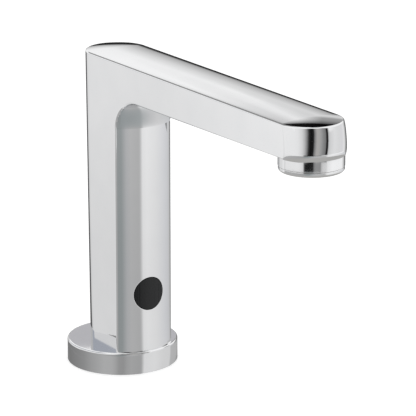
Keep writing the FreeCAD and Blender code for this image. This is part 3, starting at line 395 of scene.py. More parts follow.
def closeTurned(piece, capped):
    # caps the last row, or joins it to the first, and turns the faces outwards
    if capped:
        bpy.ops.mesh.edge_face_add()
    bpy.ops.mesh.select_mode(type="VERT")
    bpy.ops.mesh.select_all(action="SELECT")
    bpy.ops.mesh.remove_doubles(threshold=merge)
    bpy.ops.mesh.normals_make_consistent(inside=False)
    bpy.ops.object.mode_set(mode="OBJECT")
    return piece


def turned(rows, centre=(0, 0), points=144):
    # a solid turned piece with a flat cap at each end
    return closeTurned(turnRows(rows, centre, points, "NGON"), True)


def turnedRing(rows, centre=(0, 0), points=144):
    # an open ring, whose last row ends where it began
    return closeTurned(turnRows(rows + rows[:1], centre, points), False)


# base flange

base = {
    "radius": 0.027,
    "footRound": 0.0003,
    "rim": [(0.027, 0.01), (0.02695, 0.01035), (0.0268, 0.01064), (0.02658, 0.01085), (0.0263, 0.01097),
            (0.026, 0.011)],
    "sealInner": 0.0233,
    "sealOuter": 0.0257,
    "sealDepth": 0.0016,
    "nearSeal": 0.0004,  # the groove's faces lie this near its middle line
    # the spigot: half width, front's radius, front and back of its block, and its heights
    "spigotSide": 0.01245,
    "spigotFront": 0.02265,
    "spigotEnds": (-0.03, 0.0004),
    "spigotHeights": (0.0105, 0.015),
    "over": 0.001,  # how far a cutter stands out
    # holes from (radius, height) to (radius, height), and where they stand
    "inlet": (0, -0.0092),
    "inletHole": [(0.00735, -0.001), (0.00735, 0.004), (0.0067, 0.004), (0.0067, 0.016)],
    "connector": (0, 0.0026),
    "connectorHole": [(0.0041, -0.001), (0.0041, 0.016)],
    "studSpacing": 0.0244,
    "studHole": [(0.0025, -0.001), (0.0025, 0.008)],
    # screws: radius of shank and head, top, and the socket's width
    "bodyScrew": (0.002, 0.0039, 0.022, 0.0025),
    "bodyScrews": [(0.0094, -0.0164), (-0.0094, -0.0164), (0, 0.0109)],
    "pillarScrew": (0.0015, 0.0028, 0.021, 0.002),
    "pillarScrews": [(0.0089, -0.005), (-0.0089, -0.005)],
    "screwRecess": 0.0002,
    "screwGap": 0.00005,
    "screwCut": (-0.001, 0.016),
    "headEdge": 0.0001,
    "shankEdge": 0.0004,
    "socketCut": 0.003,
}


def countersunkHole(shank, head, place):
    gap = base["screwGap"]
    recess = base["screwRecess"]
    low, high = base["screwCut"]
    return turned([(head + gap, low), (head + gap, recess), (shank + gap, recess + head - shank),
                   (shank + gap, high)], place, 48)


def makeSpigot():
    # the block that the column sits over: flat sides, an arched front and a half-round back
    low, high = base["spigotHeights"]
    near, far = base["spigotEnds"]
    level = (high + low) / 2
    bpy.ops.mesh.primitive_cube_add(size=1, location=(0, (near + far) / 2, level))
    block = bpy.context.object
    block.scale = (2 * base["spigotSide"], far - near, high - low)
    bpy.ops.object.transform_apply(location=True, rotation=True, scale=True)
    bpy.ops.mesh.primitive_cylinder_add(vertices=160, radius=base["spigotFront"],
                                        depth=high - low + base["over"], location=(0, 0, level))
    cutWith(block, bpy.context.object, "INTERSECT")
    bpy.ops.mesh.primitive_cylinder_add(vertices=96, radius=base["spigotSide"], depth=high - low,
                                        location=(0, far, level))
    cutWith(block, bpy.context.object, "UNION")
    return block


def makeBaseFlange():
    inside = base["radius"] - base["footRound"]
    flange = turned([(inside, 0), (base["radius"], base["footRound"])] + base["rim"], points=160)

    # the groove of the rubber seal
    editMode(flange)
    pickFaces(flange, lambda face: face.normal.z < -0.99)
    bpy.ops.mesh.inset(thickness=inside - base["sealOuter"])
    bpy.ops.mesh.inset(thickness=base["sealOuter"] - base["sealInner"])
    middle = (base["sealOuter"] + base["sealInner"]) / 2
    pickFaces(flange, lambda face: face.normal.z < -0.99
              and abs(face.calc_center_median().length - middle) < base["nearSeal"])
    bpy.ops.mesh.extrude_region_move(TRANSFORM_OT_translate={"value": (0, 0, base["sealDepth"])})
    bpy.ops.object.mode_set(mode="OBJECT")
    cutWith(flange, makeSpigot(), "UNION")

    # each hole is cut by itself, because the inlet's recess meets two of the screws' holes
    cutWith(flange, turned(base["inletHole"], base["inlet"], 96))
    cutWith(flange, turned(base["connectorHole"], base["connector"], 64))
    for side in (1, -1):
        cutWith(flange, turned(base["studHole"], (side * base["studSpacing"] / 2, 0), 48))
    for screw, places in (("bodyScrew", "bodyScrews"), ("pillarScrew", "pillarScrews")):
        shank, head = base[screw][:2]
        for place in base[places]:
            cutWith(flange, countersunkHole(shank, head, place))
    return settle(flange, "deckFlange", 30)


baseFlange = makeBaseFlange()
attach(baseFlange, "tap")
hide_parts("base_flange")
print("base flange done")


# screws in the flange

def makeScrew(shank, head, top, socket, place):
    recess = base["screwRecess"]
    edge = base["headEdge"]
    tip = base["shankEdge"]
    screw = turned([(head - edge, recess), (head, recess + edge), (shank, recess + head - shank),
                    (shank, top - tip), (shank - tip, top)], place, 48)
    bpy.ops.mesh.primitive_cylinder_add(vertices=6, radius=socket / math.sqrt(3), depth=base["socketCut"],
                                        location=(place[0], place[1], recess))
    cutWith(screw, bpy.context.object)
    return screw


def makeScrews(name, sizes, places):
    return settle(joined([makeScrew(*sizes, place) for place in places]), name, 25)


bodyScrews = makeScrews("columnScrews", base["bodyScrew"], base["bodyScrews"])
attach(bodyScrews, "tap")
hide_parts("body_screws")
pillarScrews = makeScrews("postScrews", base["pillarScrew"], base["pillarScrews"])
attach(pillarScrews, "tap")
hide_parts("pillar_screws")
print("screws done")


# infrared window

window = {
    "height": 0.0397,
    "radius": 0.0080,
    "shoulder": 0.0094,
    "back": 0.0188,
    "seat": 0.02,
    "nearSeat": 0.001,  # the rounded rim lies more than this in front of the seat
    "blank": 0.027,  # the turned blank's end, before the arch is cut
    "archDepth": 0.03,
    "setBack": 0.00003,
    "rim": 0.00018,
}


def makeWindow():
    # turned about the line forwards, then cut to the column's arch
    lens = turned([(window["shoulder"], window["back"]), (window["shoulder"], window["seat"]),
                   (window["radius"], window["seat"]), (window["radius"], window["blank"])], points=128)
    clearSelection()
    lens.select_set(True)
    bpy.context.view_layer.objects.active = lens
    lens.rotation_euler = (math.radians(90), 0, 0)
    lens.location = (0, 0, window["height"])
    bpy.ops.object.transform_apply(location=True, rotation=True, scale=True)
    bpy.ops.mesh.primitive_cylinder_add(vertices=480, radius=body["frontRadius"] - window["setBack"],
                                        depth=window["archDepth"], location=(0, 0, window["height"]))
    cutWith(lens, bpy.context.object, "INTERSECT")
    editMode(lens)
    front = -window["seat"] - window["nearSeat"]
    pickEdges(lens, lambda edge: edge.calc_face_angle(0) > math.radians(30)
              and all(point.co.y < front for point in edge.verts))
    bpy.ops.mesh.bevel(offset=window["rim"], segments=3, affect="EDGES", clamp_overlap=False)
    bpy.ops.object.mode_set(mode="OBJECT")
    return settle(lens, "darkWindow", 30)


sensorWindow = makeWindow()
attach(sensorWindow, "tap")
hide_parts("sensor_window")
print("window done")


# aerator ring

outlet = {
    # once round the ring's section, from (radius, height) to (radius, height)
    "rows": [(0.01465, 0.1348), (0.01465, 0.1335), (0.01458, 0.1332), (0.0144, 0.13298), (0.01408, 0.13270),
             (0.01375, 0.1326), (0.0096, 0.1326), (0.0094, 0.1328), (0.0094, 0.1336), (0.01041, 0.1336),
             (0.01041, 0.139), (0.01141, 0.139), (0.01141, 0.1348)],
}
aeratorRing = settle(turnedRing(outlet["rows"], (0, -body["reach"]), 160), "aeratorNut", 30)
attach(aeratorRing, "tap")
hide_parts("aerator_ring")
print("aerator ring done")


# shader wiring

class Wire:
    # a node socket that adds up, multiplies and so on
    def __init__(self, tree, socket):
        self.tree = tree
        self.socket = socket

    def maths(self, operation, *values):
        node = self.tree.nodes.new("ShaderNodeMath")
        node.operation = operation
        for slot, value in zip(node.inputs, values):
            if isinstance(value, Wire):
                self.tree.links.new(value.socket, slot)
            else:
                slot.default_value = value
        return Wire(self.tree, node.outputs[0])

    def __add__(self, other):
        return self.maths("ADD", self, other)

    def __radd__(self, other):
        return self.maths("ADD", other, self)

    def __sub__(self, other):
        return self.maths("SUBTRACT", self, other)

    def __rsub__(self, other):
        return self.maths("SUBTRACT", other, self)

    def __mul__(self, other):
        return self.maths("MULTIPLY", self, other)

    def __rmul__(self, other):
        return self.maths("MULTIPLY", other, self)

    def __truediv__(self, other):
        return self.maths("DIVIDE", self, other)

    def __rtruediv__(self, other):
        return self.maths("DIVIDE", other, self)

    def over(self, other):
        return self.maths("GREATER_THAN", self, other)


class Shader:
    # a material's or the world's nodes
    def __init__(self, holder):
        holder.use_nodes = True
        self.tree = holder.node_tree
        self.tree.nodes.clear()

    def node(self, kind, settings=None, values=None, output=0):
        node = self.tree.nodes.new("ShaderNode" + kind)
        for name, value in (settings or {}).items():
            if name == "stops":
                self.setStops(node.color_ramp, value)
            else:
                setattr(node, name, value)
        for name, value in (values or {}).items():
            slot = node.inputs[name]
            if isinstance(value, Wire):
                self.tree.links.new(value.socket, slot)
            else:
                slot.default_value = value
        return Wire(self.tree, node.outputs[output])

    def setStops(self, ramp, stops):
        while len(ramp.elements) < len(stops):
            ramp.elements.new(0.5)
        for element, (place, colour) in zip(ramp.elements, stops):
            element.position = place
            element.color = colour if len(colour) == 4 else (*colour, 1)

    def end(self, kind, surface):
        out = self.tree.nodes.new("ShaderNodeOutput" + kind)
        self.tree.links.new(surface.socket, out.inputs["Surface"])


# finishes

polish = {
    "deep": (0.90, 0.905, 0.915),
    "pale": (0.93, 0.932, 0.94),
    "grain": (60.0, 3.0),
    "roughness": (0.025, 0.055),
}
smoke = {
    "colour": (0.006, 0.0066, 0.0074, 1),
    "specular": 0.4,
    "grain": (90.0, 3.0),
    "roughness": (0.3, 0.36),
}
unevenness = {
    "spread": 0.06,
    "grain": (90.0, 4.0),
    "roughness": (0.85, 1.15),
    "ramp": (0.3, 0.7),
}


def giveFinish(piece, material):
    piece.data.materials.clear()
    piece.data.materials.append(material)


def hazeOn(shader, grain, detail):
    place = shader.node("TexCoord", output="Object")
    return shader.node("TexNoise", values={"Vector": place, "Scale": grain, "Detail": detail})


def between(haze, low, high):
    return low + haze * (high - low)


def tinted(shader, haze, low, high):
    start, end = unevenness["ramp"]
    return shader.node("ValToRGB", {"stops": [(start, low), (end, high)]}, {"Fac": haze})


def chromeFinish():
    material = bpy.data.materials.new("polishedChrome")
    shader = Shader(material)
    haze = hazeOn(shader, *polish["grain"])
    tint = tinted(shader, haze, polish["deep"], polish["pale"])
    surface = shader.node("BsdfPrincipled", values={"Base Color": tint, "Metallic": 1.0,
                                                    "Roughness": between(haze, *polish["roughness"])})
    shader.end("Material", surface)
    return material


def plainFinish(name, colour, roughness, metallic=0.0):
    # a moulded or turned finish with a little unevenness in colour and sheen
    material = bpy.data.materials.new(name)
    shader = Shader(material)
    haze = hazeOn(shader, *unevenness["grain"])
    spread = unevenness["spread"]
    low = tuple(channel * (1 - spread) for channel in colour)
    high = tuple(min(1.0, channel * (1 + spread)) for channel in colour)
    smooth, rough = unevenness["roughness"]
    surface = shader.node("BsdfPrincipled", values={
        "Base Color": tinted(shader, haze, low, high), "Metallic": metallic,
        "Roughness": between(haze, roughness * smooth, roughness * rough)})
    shader.end("Material", surface)
    return material


def lensFinish():
    material = bpy.data.materials.new("smokedWindow")
    shader = Shader(material)
    haze = hazeOn(shader, *smoke["grain"])
    surface = shader.node("BsdfPrincipled", values={"Base Color": smoke["colour"],
                                                    "Specular IOR Level": smoke["specular"],
                                                    "Roughness": between(haze, *smoke["roughness"])})
    shader.end("Material", surface)
    return material


chrome = chromeFinish()
for piece in (tapBody, baseFlange, aeratorRing):
    giveFinish(piece, chrome)
giveFinish(sensorWindow, lensFinish())
zinc = plainFinish("zincPlate", (0.62, 0.63, 0.66), 0.32, metallic=1.0)
for piece in (bodyScrews, pillarScrews):
    giveFinish(piece, zinc)

insideFinishes = [
    (plainFinish("blackRubber", (0.02, 0.02, 0.021), 0.6), ["base_seal", "sensor_seal", "outlet_seal",
     "aerator_washer", "riser_seals", "hose_seal"]),
    (plainFinish("sealRubber", (0.05, 0.05, 0.052), 0.55), ["diaphragm", "plunger_seal", "flow_regulator"]),
    (plainFinish("whiteMoulding", (0.78, 0.78, 0.76), 0.4), ["valve_body", "bonnet_ring", "check_valve_cage",
     "coil_bobbin", "outlet_adaptor"]),
    (plainFinish("blackMoulding", (0.03, 0.03, 0.032), 0.38), ["sensor_housing", "lead_connector",
     "light_divider"]),
    (plainFinish("greyMoulding", (0.24, 0.25, 0.26), 0.42), ["aerator_screen", "aerator_cartridge",
     "check_valve_poppet", "inlet_filter", "diaphragm_insert"]),
    (plainFinish("stainlessSteel", (0.6, 0.6, 0.59), 0.28, metallic=1.0), ["support_pillars",
     "sensor_retainer", "retainer_screws", "guide_tube", "plunger", "plunger_spring", "pole_piece",
     "check_valve_spring", "inlet_clip", "coil_can", "coil_nut"]),
    (plainFinish("plainBrass", (0.72, 0.53, 0.26), 0.3, metallic=1.0), ["inlet_fitting", "riser_tube"]),
    (plainFinish("magnetAlloy", (0.2, 0.2, 0.21), 0.45, metallic=0.8), ["latching_magnet"]),
    (plainFinish("copperWire", (0.72, 0.34, 0.17), 0.3, metallic=1.0), ["coil_winding"]),
    (plainFinish("circuitBoard", (0.03, 0.16, 0.07), 0.42), ["sensor_board"]),
    (plainFinish("lampLens", (0.55, 0.57, 0.6), 0.1), ["emitter_led"]),
    (plainFinish("receiverLens", (0.03, 0.025, 0.035), 0.1), ["receiver_diode"]),
    (plainFinish("goldPin", (0.83, 0.6, 0.25), 0.22, metallic=1.0), ["connector_pins"]),
    (plainFinish("braidedHose", (0.5, 0.51, 0.52), 0.4), ["waterway_hose"]),
    (plainFinish("leadSheath", (0.025, 0.025, 0.027), 0.5), ["sensor_lead", "coil_lead"]),
]
for material, names in insideFinishes:
    for name in names:
        giveFinish(frame["nodes"][name], material)
print("finishes done")


# studio: the camera, a floor, and the glowing cards and sky that only polished metal mirrors; their tones are
# painted reflections of light and shade, set by the angle from the camera's side

studio = {
    "focal": 2956.8,
    "photoWidth": 416,
    "filmWidth": 36,
    "nearest": 0.05,
    "pitch": 16.195,
    "yaw": 33.169,
    "distance": 1.4564,
    "originAcross": 122.181,
    "originDown": 356.387,
    "floorSize": 12,
    "floorLevel": -0.0002,
    "floorWhite": (0.8, 0.8, 0.8, 1),
    "floorGlow": (0.5, 0.5, 0.5, 1),
    "floorCards": (4.0, -0.0001),
    # the round walls that mirror the cards, and the rings of cards: radius and (foot, top)
    "columnRound": 0.0235,
    "flangeRound": 0.0288,
    "flangeCard": (0.042, (-0.0002, 0.0045)),
    "flangeBlend": 0.0002,
    "noseCard": (0.24, (0.068, 0.1548)),
    # a grey card under the nose: a painted reflection for the nose's steep rays
    "noseTray": (0.083, 0.1095),
    "noseSteep": (0.42, 0.415, 0.405, 1),
    # the floor cards' painted reflections grow brighter further out: from where, to where, and by how much
    "brighterOut": (0.18, 0.58, 0.12),
    # painted reflections of light and shade, as polished metal sees them on the cards, by the angle from the
    # camera's side: (degrees, brightness)
    "flangeReflection": [(-180, 0.24), (-150, 0.2), (-115, 0.24), (-100, 0.26), (-88, 0.28), (-67, 0.35),
                    (-48, 0.40), (-38, 0.43), (-21, 0.425), (-13, 0.38), (-5, 0.31), (4, 0.30), (12, 0.355),
                    (21, 0.387), (38, 0.366), (43, 0.38), (50, 0.72), (76, 0.73), (99, 0.67), (122, 0.66),
                    (128, 0.48), (160, 0.45), (180, 0.3)],
    "columnReflection": [(-180, 0.07), (-150, 0.1), (-143, 0.64), (-127, 0.7), (-112, 0.7), (-104, 0.78),
                    (-97, 0.8), (-88, 0.42), (-40, 0.39), (-14, 0.34), (-7, (0.272, 0.292, 0.294)),
                    (2, (0.28, 0.3, 0.302)), (13, (0.41, 0.415, 0.421)), (22, 0.44), (40, 0.42), (43, 0.45),
                    (49, 0.74), (59, 0.77), (81, 0.725), (107, (0.64, 0.645, 0.66)),
                    (123, (0.58, 0.585, 0.6)), (130, 0.5), (136, 0.12), (180, 0.06)],
    "collarReflection": [(-180, 0.28), (-142, 0.3), (-132, 0.45), (-124, 0.8), (-49, 0.83), (-40, 0.79),
                    (-31, 0.7), (-27, 0.12), (-23, 0.006), (3, 0.02), (7, 0.2), (13, 0.28), (29, 0.265),
                    (32, 0.5),
                    (38, 0.62), (50, 0.68), (56, 0.82), (73, 0.93), (124, 0.92), (138, 0.6), (150, 0.2),
                    (180, 0.1)],
    "noseReflection": [(-180, 0.785), (-150, 0.79), (-118, 0.815), (-106, 0.83), (-100, 0.847), (-61, 0.847),
                  (-47, 0.82), (-40, 0.759), (-33, 0.682), (-26, 0.506), (-19, 0.253), (-13, 0.033),
                  (-7, 0.007), (2, 0.013), (5, 0.176), (13, (0.418, 0.407, 0.396)),
                  (20, (0.413, 0.405, 0.391)), (26, 0.352), (34, 0.253), (42, 0.187), (45, 0.013),
                  (50, 0.013), (53, 0.605), (62, 0.704), (77, 0.781), (95, 0.737),
                  (116, (0.732, 0.726, 0.743)),
                  (131, 0.814), (140, 0.55), (150, 0.22), (158, 0.033), (180, 0.022)],
    # on the nose's ring of painted reflections: where the collar's part ends, how the stripes lean with
    # height, and the arc it fills
    "collarPart": (0.0760, 0.0768),
    "noseLean": (0.0843, 0.157),
    "noseArc": ((0.184, 0.222), (0.935, 0.95)),
    # the card under the fillet, glowing with painted reflections: (left, right), (near, far), height; its
    # tones across, and where they set in
    "filletCard": ((-0.0156, 0.045), (-0.065, -0.02), 0.1225),
    "filletEdge": (0.0256, 0.031),
    "filletReflection": [(-0.016, (0.3, 0.325, 0.33)), (-0.009, (0.34, 0.365, 0.37)), (-0.002, (0.5, 0.505, 0.51)),
                    (0.004, 0.6), (0.016, (0.56, 0.58, 0.58))],
    "filletAside": 0.006,
    # a darker painted reflection further forward: where it sets in, and its tone
    "filletDark": ((0.0335, 0.0355), (0.26, 0.265, 0.275, 1)),
    # a low screen that only the flange and the column's foot mirror, painted with reflections by the angle
    # from the camera's side
    "lowScreen": [(-180, (0.48, 0.475, 0.5)), (-150, 0.5), (-138, 0.5), (-128, (0.39, 0.41, 0.455)),
                  (-95, (0.39, 0.41, 0.455)), (-80, 0.95), (-14, 0.95), (-9, 0.01), (11, 0.01), (15, 0.95),
                  (132, 0.95), (150, 0.5), (180, (0.48, 0.475, 0.5))],
    "screenRing": (0.36, (0.09, 0.14)),
    "screenGap": (0.28, 0.865),
    # a white card behind the tap at about the top's height: a painted reflection that only polished metal
    # sees
    "roof": ((-0.145, 0.145), (0.05, 0.34), 0.15),
    "roofTone": (0.95, 0.95, 0.95, 1),
    # a card facing down, glowing with a painted reflection: where its line lies, how soft it is, and its two
    # tones
    "lid": ((-0.08, -0.03), (-0.02, 0.1), 0.03),
    "lidTones": (-0.0462, 0.0004, (0.39, 0.41, 0.455, 1), (0.7, 0.7, 0.7, 1)),
    # painted reflections in the sky behind the tap, for the column's line and for the nose's, by the sine of
    # the height
    "behind": [(0.0, 0.02), (0.115, 0.02), (0.13, 0.42), (0.155, 0.52), (0.2, 0.74), (0.26, 0.92),
               (0.34, 0.95), (0.36, 0.86), (0.378, 0.6), (0.4, 0.2), (0.42, 0.006), (0.74, 0.006),
               (0.84, 0.9), (1.0, 0.95)],
    "behindNose": [(0.0, 0.02), (0.115, 0.02), (0.13, 0.42), (0.155, 0.52), (0.2, 0.72), (0.26, 0.9),
                   (0.31, 0.84), (0.34, 0.71), (0.37, 0.5), (0.385, 0.38), (0.4, 0.28), (0.412, 0.006),
                   (0.74, 0.006), (0.84, 0.9), (1.0, 0.95)],
    "behindFade": (-0.055, -0.02),
    "behindDim": ((0.005, 0.065), (0.2, 0.27), 0.6),
    "behindWidth": (0.2, 0.3),
    "behindAway": (0.0, 0.2),
    "behindLeft": ((0.36, 0.42), (0.3, 0.3, 0.3, 1)),
    # painted reflections in the sky elsewhere: the nose's stripes below, a dark gap above them by the angle,
    # and plain at the top
    "skyTilt": (0.0115, 0.047),
    "skySooner": ((0.36, 0.39, 0.7), (0.65, 0.68, 0.5)),
    "around": [(-180, 0.95), (-14, 0.95), (-9, 0.01), (11, 0.01), (15, 0.95), (180, 0.95)],
    "aroundLow": (0.7, 0.8),
    "aroundTop": (0.8, 0.85),
    "skyTop": (0.95, 0.95, 0.95, 1),
    "skySoft": (0.8, 0.8, 0.8, 1),
}
black = (0, 0, 0, 1)
white = (1, 1, 1, 1)


def makeCamera():
    turn = -math.radians(studio["yaw"])
    tilt = math.radians(studio["pitch"])
    back = Vector((math.sin(turn) * math.cos(tilt), -math.cos(turn) * math.cos(tilt), math.sin(tilt)))
    right = Vector((math.cos(turn), math.sin(turn), 0))
    up = back.cross(right)
    middle = (studio["photoWidth"] - 1) / 2
    scale = studio["distance"] / studio["focal"]
    across = (studio["originAcross"] - middle) * scale
    down = (studio["originDown"] - middle) * scale
    data = bpy.data.cameras.new("photoCamera")
    data.sensor_width = studio["filmWidth"]
    data.lens = studio["filmWidth"] * studio["focal"] / studio["photoWidth"]
    data.clip_start = studio["nearest"]
    camera = bpy.data.objects.new("photoCamera", data)
    bpy.context.scene.collection.objects.link(camera)
    camera.matrix_world = Matrix((right, up, back)).transposed().to_4x4()
    camera.matrix_world.translation = back * studio["distance"] - right * across + up * down
    bpy.context.scene.camera = camera


# shading by place

def ramp(shader, stops, value):
    # grey or coloured stops over a range of values
    low, high = stops[0][0], stops[-1][0]
    colours = [((place - low) / (high - low), tone if isinstance(tone, tuple) else (tone,) * 3)
               for place, tone in stops]
    return shader.node("ValToRGB", {"stops": colours}, {"Fac": (value - low) / (high - low)})


def ringOf(shader, name, share):
    # the stops round the tap, by the share of a turn from behind it
    return ramp(shader, studio[name], share * 360 - 180)


def blend(shader, share, first, second):
    return shader.node("Mix", {"data_type": "RGBA"}, {0: share, 6: first, 7: second}, 2)


def rising(value, low, high):
    # 0 below low, 1 above high
    part = (value - low) / (high - low)
    part = part.maths("MAXIMUM", part, 0.0)
    return part.maths("MINIMUM", part, 1.0)


def axisOf(shader, axis, source="Object"):
    place = shader.node("TexCoord", output=source)
    return shader.node("SeparateXYZ", values={"Vector": place}, output=axis)


def cameraAngle(across, along):
    # the angle round the tap from the camera's side, from 0 (behind) over 0.5 (the camera's side) to 1
    angle = across.maths("ARCTAN2", across, along * -1.0)
    share = angle / (2 * math.pi) + (0.5 + studio["yaw"] / 360)
    return share.maths("FRACT", share)


def wayOut(shader, reach=0.0):
    # how far a card's point lies from the upright line at this reach
    across = axisOf(shader, "X")
    along = axisOf(shader, "Y") + reach
    way = across * across + along * along
    return way.maths("SQRT", way)


def seenFrom(shader, radius, steps, reach=0.0):
    # the angle at which a round wall at this reach, seen from the camera, sends its ray out to a card's point
    across = axisOf(shader, "X")
    along = axisOf(shader, "Y") + reach
    way = wayOut(shader, reach)
    angle = (cameraAngle(across, along) - 0.5) * (2 * math.pi)
    half = angle * 0.5
    for _ in range(steps):
        aside = half.maths("SINE", half) * radius / way
        half = (angle + aside.maths("ARCSINE", aside)) * 0.5
    return half / math.pi + 0.5


def cardFinish(name, colour, there=None, clearBehind=False):
    # a glowing card of painted reflections, see-through where it isn't there, or from behind
    material = bpy.data.materials.new(name)
    shader = Shader(material)
    glow = shader.node("Emission", values={"Color": colour(shader)})
    clear = shader.node("BsdfTransparent", values={"Color": white})
    if there:
        glow = shader.node("MixShader", values={0: there(shader), 1: clear, 2: glow})
    if clearBehind:
        behind = shader.node("NewGeometry", output="Backfacing")
        glow = shader.node("MixShader", values={0: behind, 1: glow, 2: clear})
    shader.end("Material", glow)
    return material


def evenTone(name):
    return lambda shader: studio[name]


def floorReflection(shader):
    # painted reflections on the floor cards: white, grey and black, for the column and, close in, for the
    # flange
    seen = ringOf(shader, "columnReflection", seenFrom(shader, studio["columnRound"], 2))
    way = wayOut(shader)
    start, end, gain = studio["brighterOut"]
    seen = shader.node("VectorMath", {"operation": "SCALE"},
                       {"Vector": seen, "Scale": 1.0 + rising(way, start, end) * gain})
    edge = studio["flangeCard"][0]
    soft = studio["flangeBlend"]
    return blend(shader, rising(way, edge - soft, edge + soft), flangeTone(shader), seen)


def flangeTone(shader):
    # painted reflections of light and shade close round the flange
    return ringOf(shader, "flangeReflection", seenFrom(shader, studio["flangeRound"], 4))


def noseShare(shader):
    return seenFrom(shader, body["halfWidth"], 2, body["reach"])


def noseTone(shader):
    # painted reflections: the ring's upper part is for the nose's wall, its foot for the collar
    share = noseShare(shader)
    height = axisOf(shader, "Z")
    start, lean = studio["noseLean"]
    nose = ringOf(shader, "noseReflection", share - rising(height, start, start + 1) * lean)
    return blend(shader, rising(height, *studio["collarPart"]), ringOf(shader, "collarReflection", share), nose)


def noseThere(shader):
    share = noseShare(shader)
    begin, end = studio["noseArc"]
    return rising(share, *begin) * (1 - rising(share, *end))


def screenShare(shader):
    return cameraAngle(axisOf(shader, "X"), axisOf(shader, "Y"))


def screenTone(shader):
    # painted reflections: grey for the flange's top, white for rims, and the column's image in the flange,
    # painted
    return ringOf(shader, "lowScreen", screenShare(shader))


def screenThere(shader):
    share = screenShare(shader)
    left, right = studio["screenGap"]
    return 1 - share.over(left) * (1 - share.over(right))


def filletTone(shader):
    # painted reflections: grey right under the fillet, for its steep rays, darker further forward, and the
    # column's tones further out
    tones = ramp(shader, studio["filletReflection"], axisOf(shader, "X") - studio["filletAside"])
    start, dark = studio["filletDark"]
    tones = blend(shader, rising(axisOf(shader, "Y") * -1.0, *start), tones, dark)
    column = ringOf(shader, "columnReflection", seenFrom(shader, studio["columnRound"], 4))
    return blend(shader, rising(wayOut(shader), *studio["filletEdge"]), column, tones)


def lidTone(shader):
    # painted reflection: grey-blue nearer the tap, pale grey further out
    edge, soft, inner, outer = studio["lidTones"]
    return blend(shader, rising(axisOf(shader, "X"), edge - soft, edge + soft), outer, inner)


def floorFinish():
    # a matt white floor with a glow that the camera alone sees, so a soft shadow stays
    material = bpy.data.materials.new("studioFloor")
    shader = Shader(material)
    view = shader.node("LightPath", output="Is Camera Ray")
    matte = shader.node("BsdfDiffuse", values={"Color": studio["floorWhite"]})
    glow = shader.node("Emission", values={"Color": studio["floorGlow"]})
    lit = shader.node("AddShader", values={0: matte, 1: glow})
    lit = shader.node("MixShader", values={0: view, 1: matte, 2: lit})
    below = shader.node("NewGeometry", output="Backfacing")
    clear = shader.node("BsdfTransparent", values={"Color": white})
    shader.end("Material", shader.node("MixShader", values={0: below, 1: lit, 2: clear}))
    return material


# the cards themselves, which glow with painted reflections

def setCard(card, name, material):
    # seen by polished metal and by nothing else
    bpy.ops.object.transform_apply(location=True, rotation=False, scale=True)
    card.name = name
    card.visible_camera = False
    card.visible_diffuse = False
    card.visible_shadow = False
    card.visible_transmission = False
    giveFinish(card, material)


def makeRing(name, radius, heights, material, reach=0.0):
    clearSelection()
    low, high = heights
    bpy.ops.mesh.primitive_cylinder_add(vertices=128, radius=radius, depth=high - low,
                                        end_fill_type="NOTHING", location=(0, -reach, (low + high) / 2))
    setCard(bpy.context.object, name, material)


def makeDisc(name, radius, height, material, reach=0.0, points=96):
    clearSelection()
    bpy.ops.mesh.primitive_circle_add(vertices=points, radius=radius, fill_type="NGON",
                                      location=(0, -reach, height))
    setCard(bpy.context.object, name, material)


def makeSheet(name, place, material, faceDown=False):
    # a level card between two places across and two along
    clearSelection()
    (left, right), (near, far), height = place
    bpy.ops.mesh.primitive_plane_add(size=1, location=((left + right) / 2, (near + far) / 2, height))
    card = bpy.context.object
    card.scale = (right - left, far - near, 1)
    if faceDown:
        editMode(card)
        bpy.ops.mesh.select_all(action="SELECT")
        bpy.ops.mesh.flip_normals()
        bpy.ops.object.mode_set(mode="OBJECT")
    setCard(card, name, material)


def makeFloor():
    clearSelection()
    bpy.ops.mesh.primitive_plane_add(size=studio["floorSize"], location=(0, 0, studio["floorLevel"]))
    floor = bpy.context.object
    bpy.ops.object.transform_apply(location=True, rotation=False, scale=False)
    floor.name = "studioFloor"
    floor.visible_glossy = False
    giveFinish(floor, floorFinish())


def skyAround(shader, share, height):
    # painted reflections: the nose's stripes below, which end sooner at the sides, then the dark gap, then
    # plain
    (leftFull, leftNone, leftLift), (rightNone, rightFull, rightLift) = studio["skySooner"]
    sooner = ((1 - rising(share, leftFull, leftNone)) * leftLift
              + rising(share, rightNone, rightFull) * rightLift)
    tilt, lean = studio["skyTilt"]
    stripes = ringOf(shader, "noseReflection", share - (height * lean + tilt))
    gap = ringOf(shader, "around", share)
    sky = blend(shader, rising(height + sooner, *studio["aroundLow"]), stripes, gap)
    return blend(shader, rising(height, *studio["aroundTop"]), sky, studio["skyTop"])


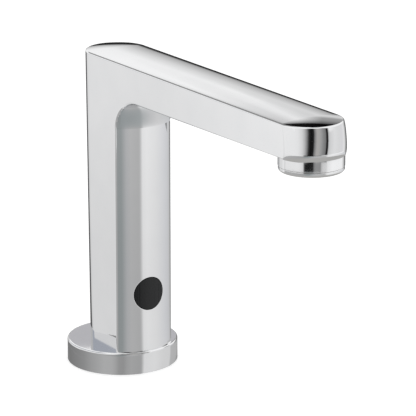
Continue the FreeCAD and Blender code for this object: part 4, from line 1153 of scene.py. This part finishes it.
def skyBehind(shader, sideways, height):
    # painted reflections: what the spout's top mirrors, from the column's end to the nose's
    sky = blend(shader, rising(sideways, *studio["behindFade"]),
                ramp(shader, studio["behind"], height), ramp(shader, studio["behindNose"], height))
    aside, level, loss = studio["behindDim"]
    return blend(shader, rising(sideways, *aside) * rising(height, *level) * loss, sky, black)


def lightWorld():
    world = bpy.data.worlds.new("studioWorld")
    bpy.context.scene.world = world
    shader = Shader(world)
    across, along, height = [axisOf(shader, axis, "Generated") for axis in "XYZ"]
    turn = math.radians(studio["yaw"])
    sideways = across * math.cos(turn) - along * math.sin(turn)
    away = across * math.sin(turn) + along * math.cos(turn)
    farSide = rising(away, *studio["behindAway"])
    sky = skyAround(shader, cameraAngle(across, along), height)
    level, grey = studio["behindLeft"]
    leftOnly = rising(height, *level) * rising(sideways * -1.0, *studio["behindWidth"]) * farSide
    sky = blend(shader, leftOnly, sky, grey)
    aside = sideways.maths("ABSOLUTE", sideways)
    middle = (1 - rising(aside, *studio["behindWidth"])) * farSide
    sky = blend(shader, middle, sky, skyBehind(shader, sideways, height))
    # polished metal sees the painted sky, other rays an even soft grey, and the camera plain white
    mirror = shader.node("LightPath", output="Is Glossy Ray")
    view = shader.node("LightPath", output="Is Camera Ray")
    soft = shader.node("Background", values={"Color": studio["skySoft"]})
    mirrored = shader.node("Background", values={"Color": sky})
    ground = shader.node("Background", values={"Color": white})
    lit = shader.node("MixShader", values={0: mirror, 1: soft, 2: mirrored})
    shader.end("World", shader.node("MixShader", values={0: view, 1: lit, 2: ground}))


makeCamera()
makeFloor()
# cards that glow with painted reflections, seen by polished metal alone
makeDisc("floorCards", *studio["floorCards"], cardFinish("floorCards", floorReflection), points=64)
makeRing("lowScreen", *studio["screenRing"], cardFinish("lowScreen", screenTone, screenThere))
makeRing("flangeCards", *studio["flangeCard"], cardFinish("flangeCards", flangeTone))
makeRing("noseCards", *studio["noseCard"], cardFinish("noseCards", noseTone, noseThere), body["reach"])
makeDisc("noseTray", *studio["noseTray"], cardFinish("noseTray", evenTone("noseSteep")), body["reach"])
makeSheet("lid", studio["lid"], cardFinish("lid", lidTone, clearBehind=True), faceDown=True)
makeSheet("filletCard", studio["filletCard"], cardFinish("filletCards", filletTone))
makeSheet("lowRoof", studio["roof"], cardFinish("lowRoof", evenTone("roofTone")))
lightWorld()
bpy.context.scene.view_settings.view_transform = "Standard"
print("studio done")
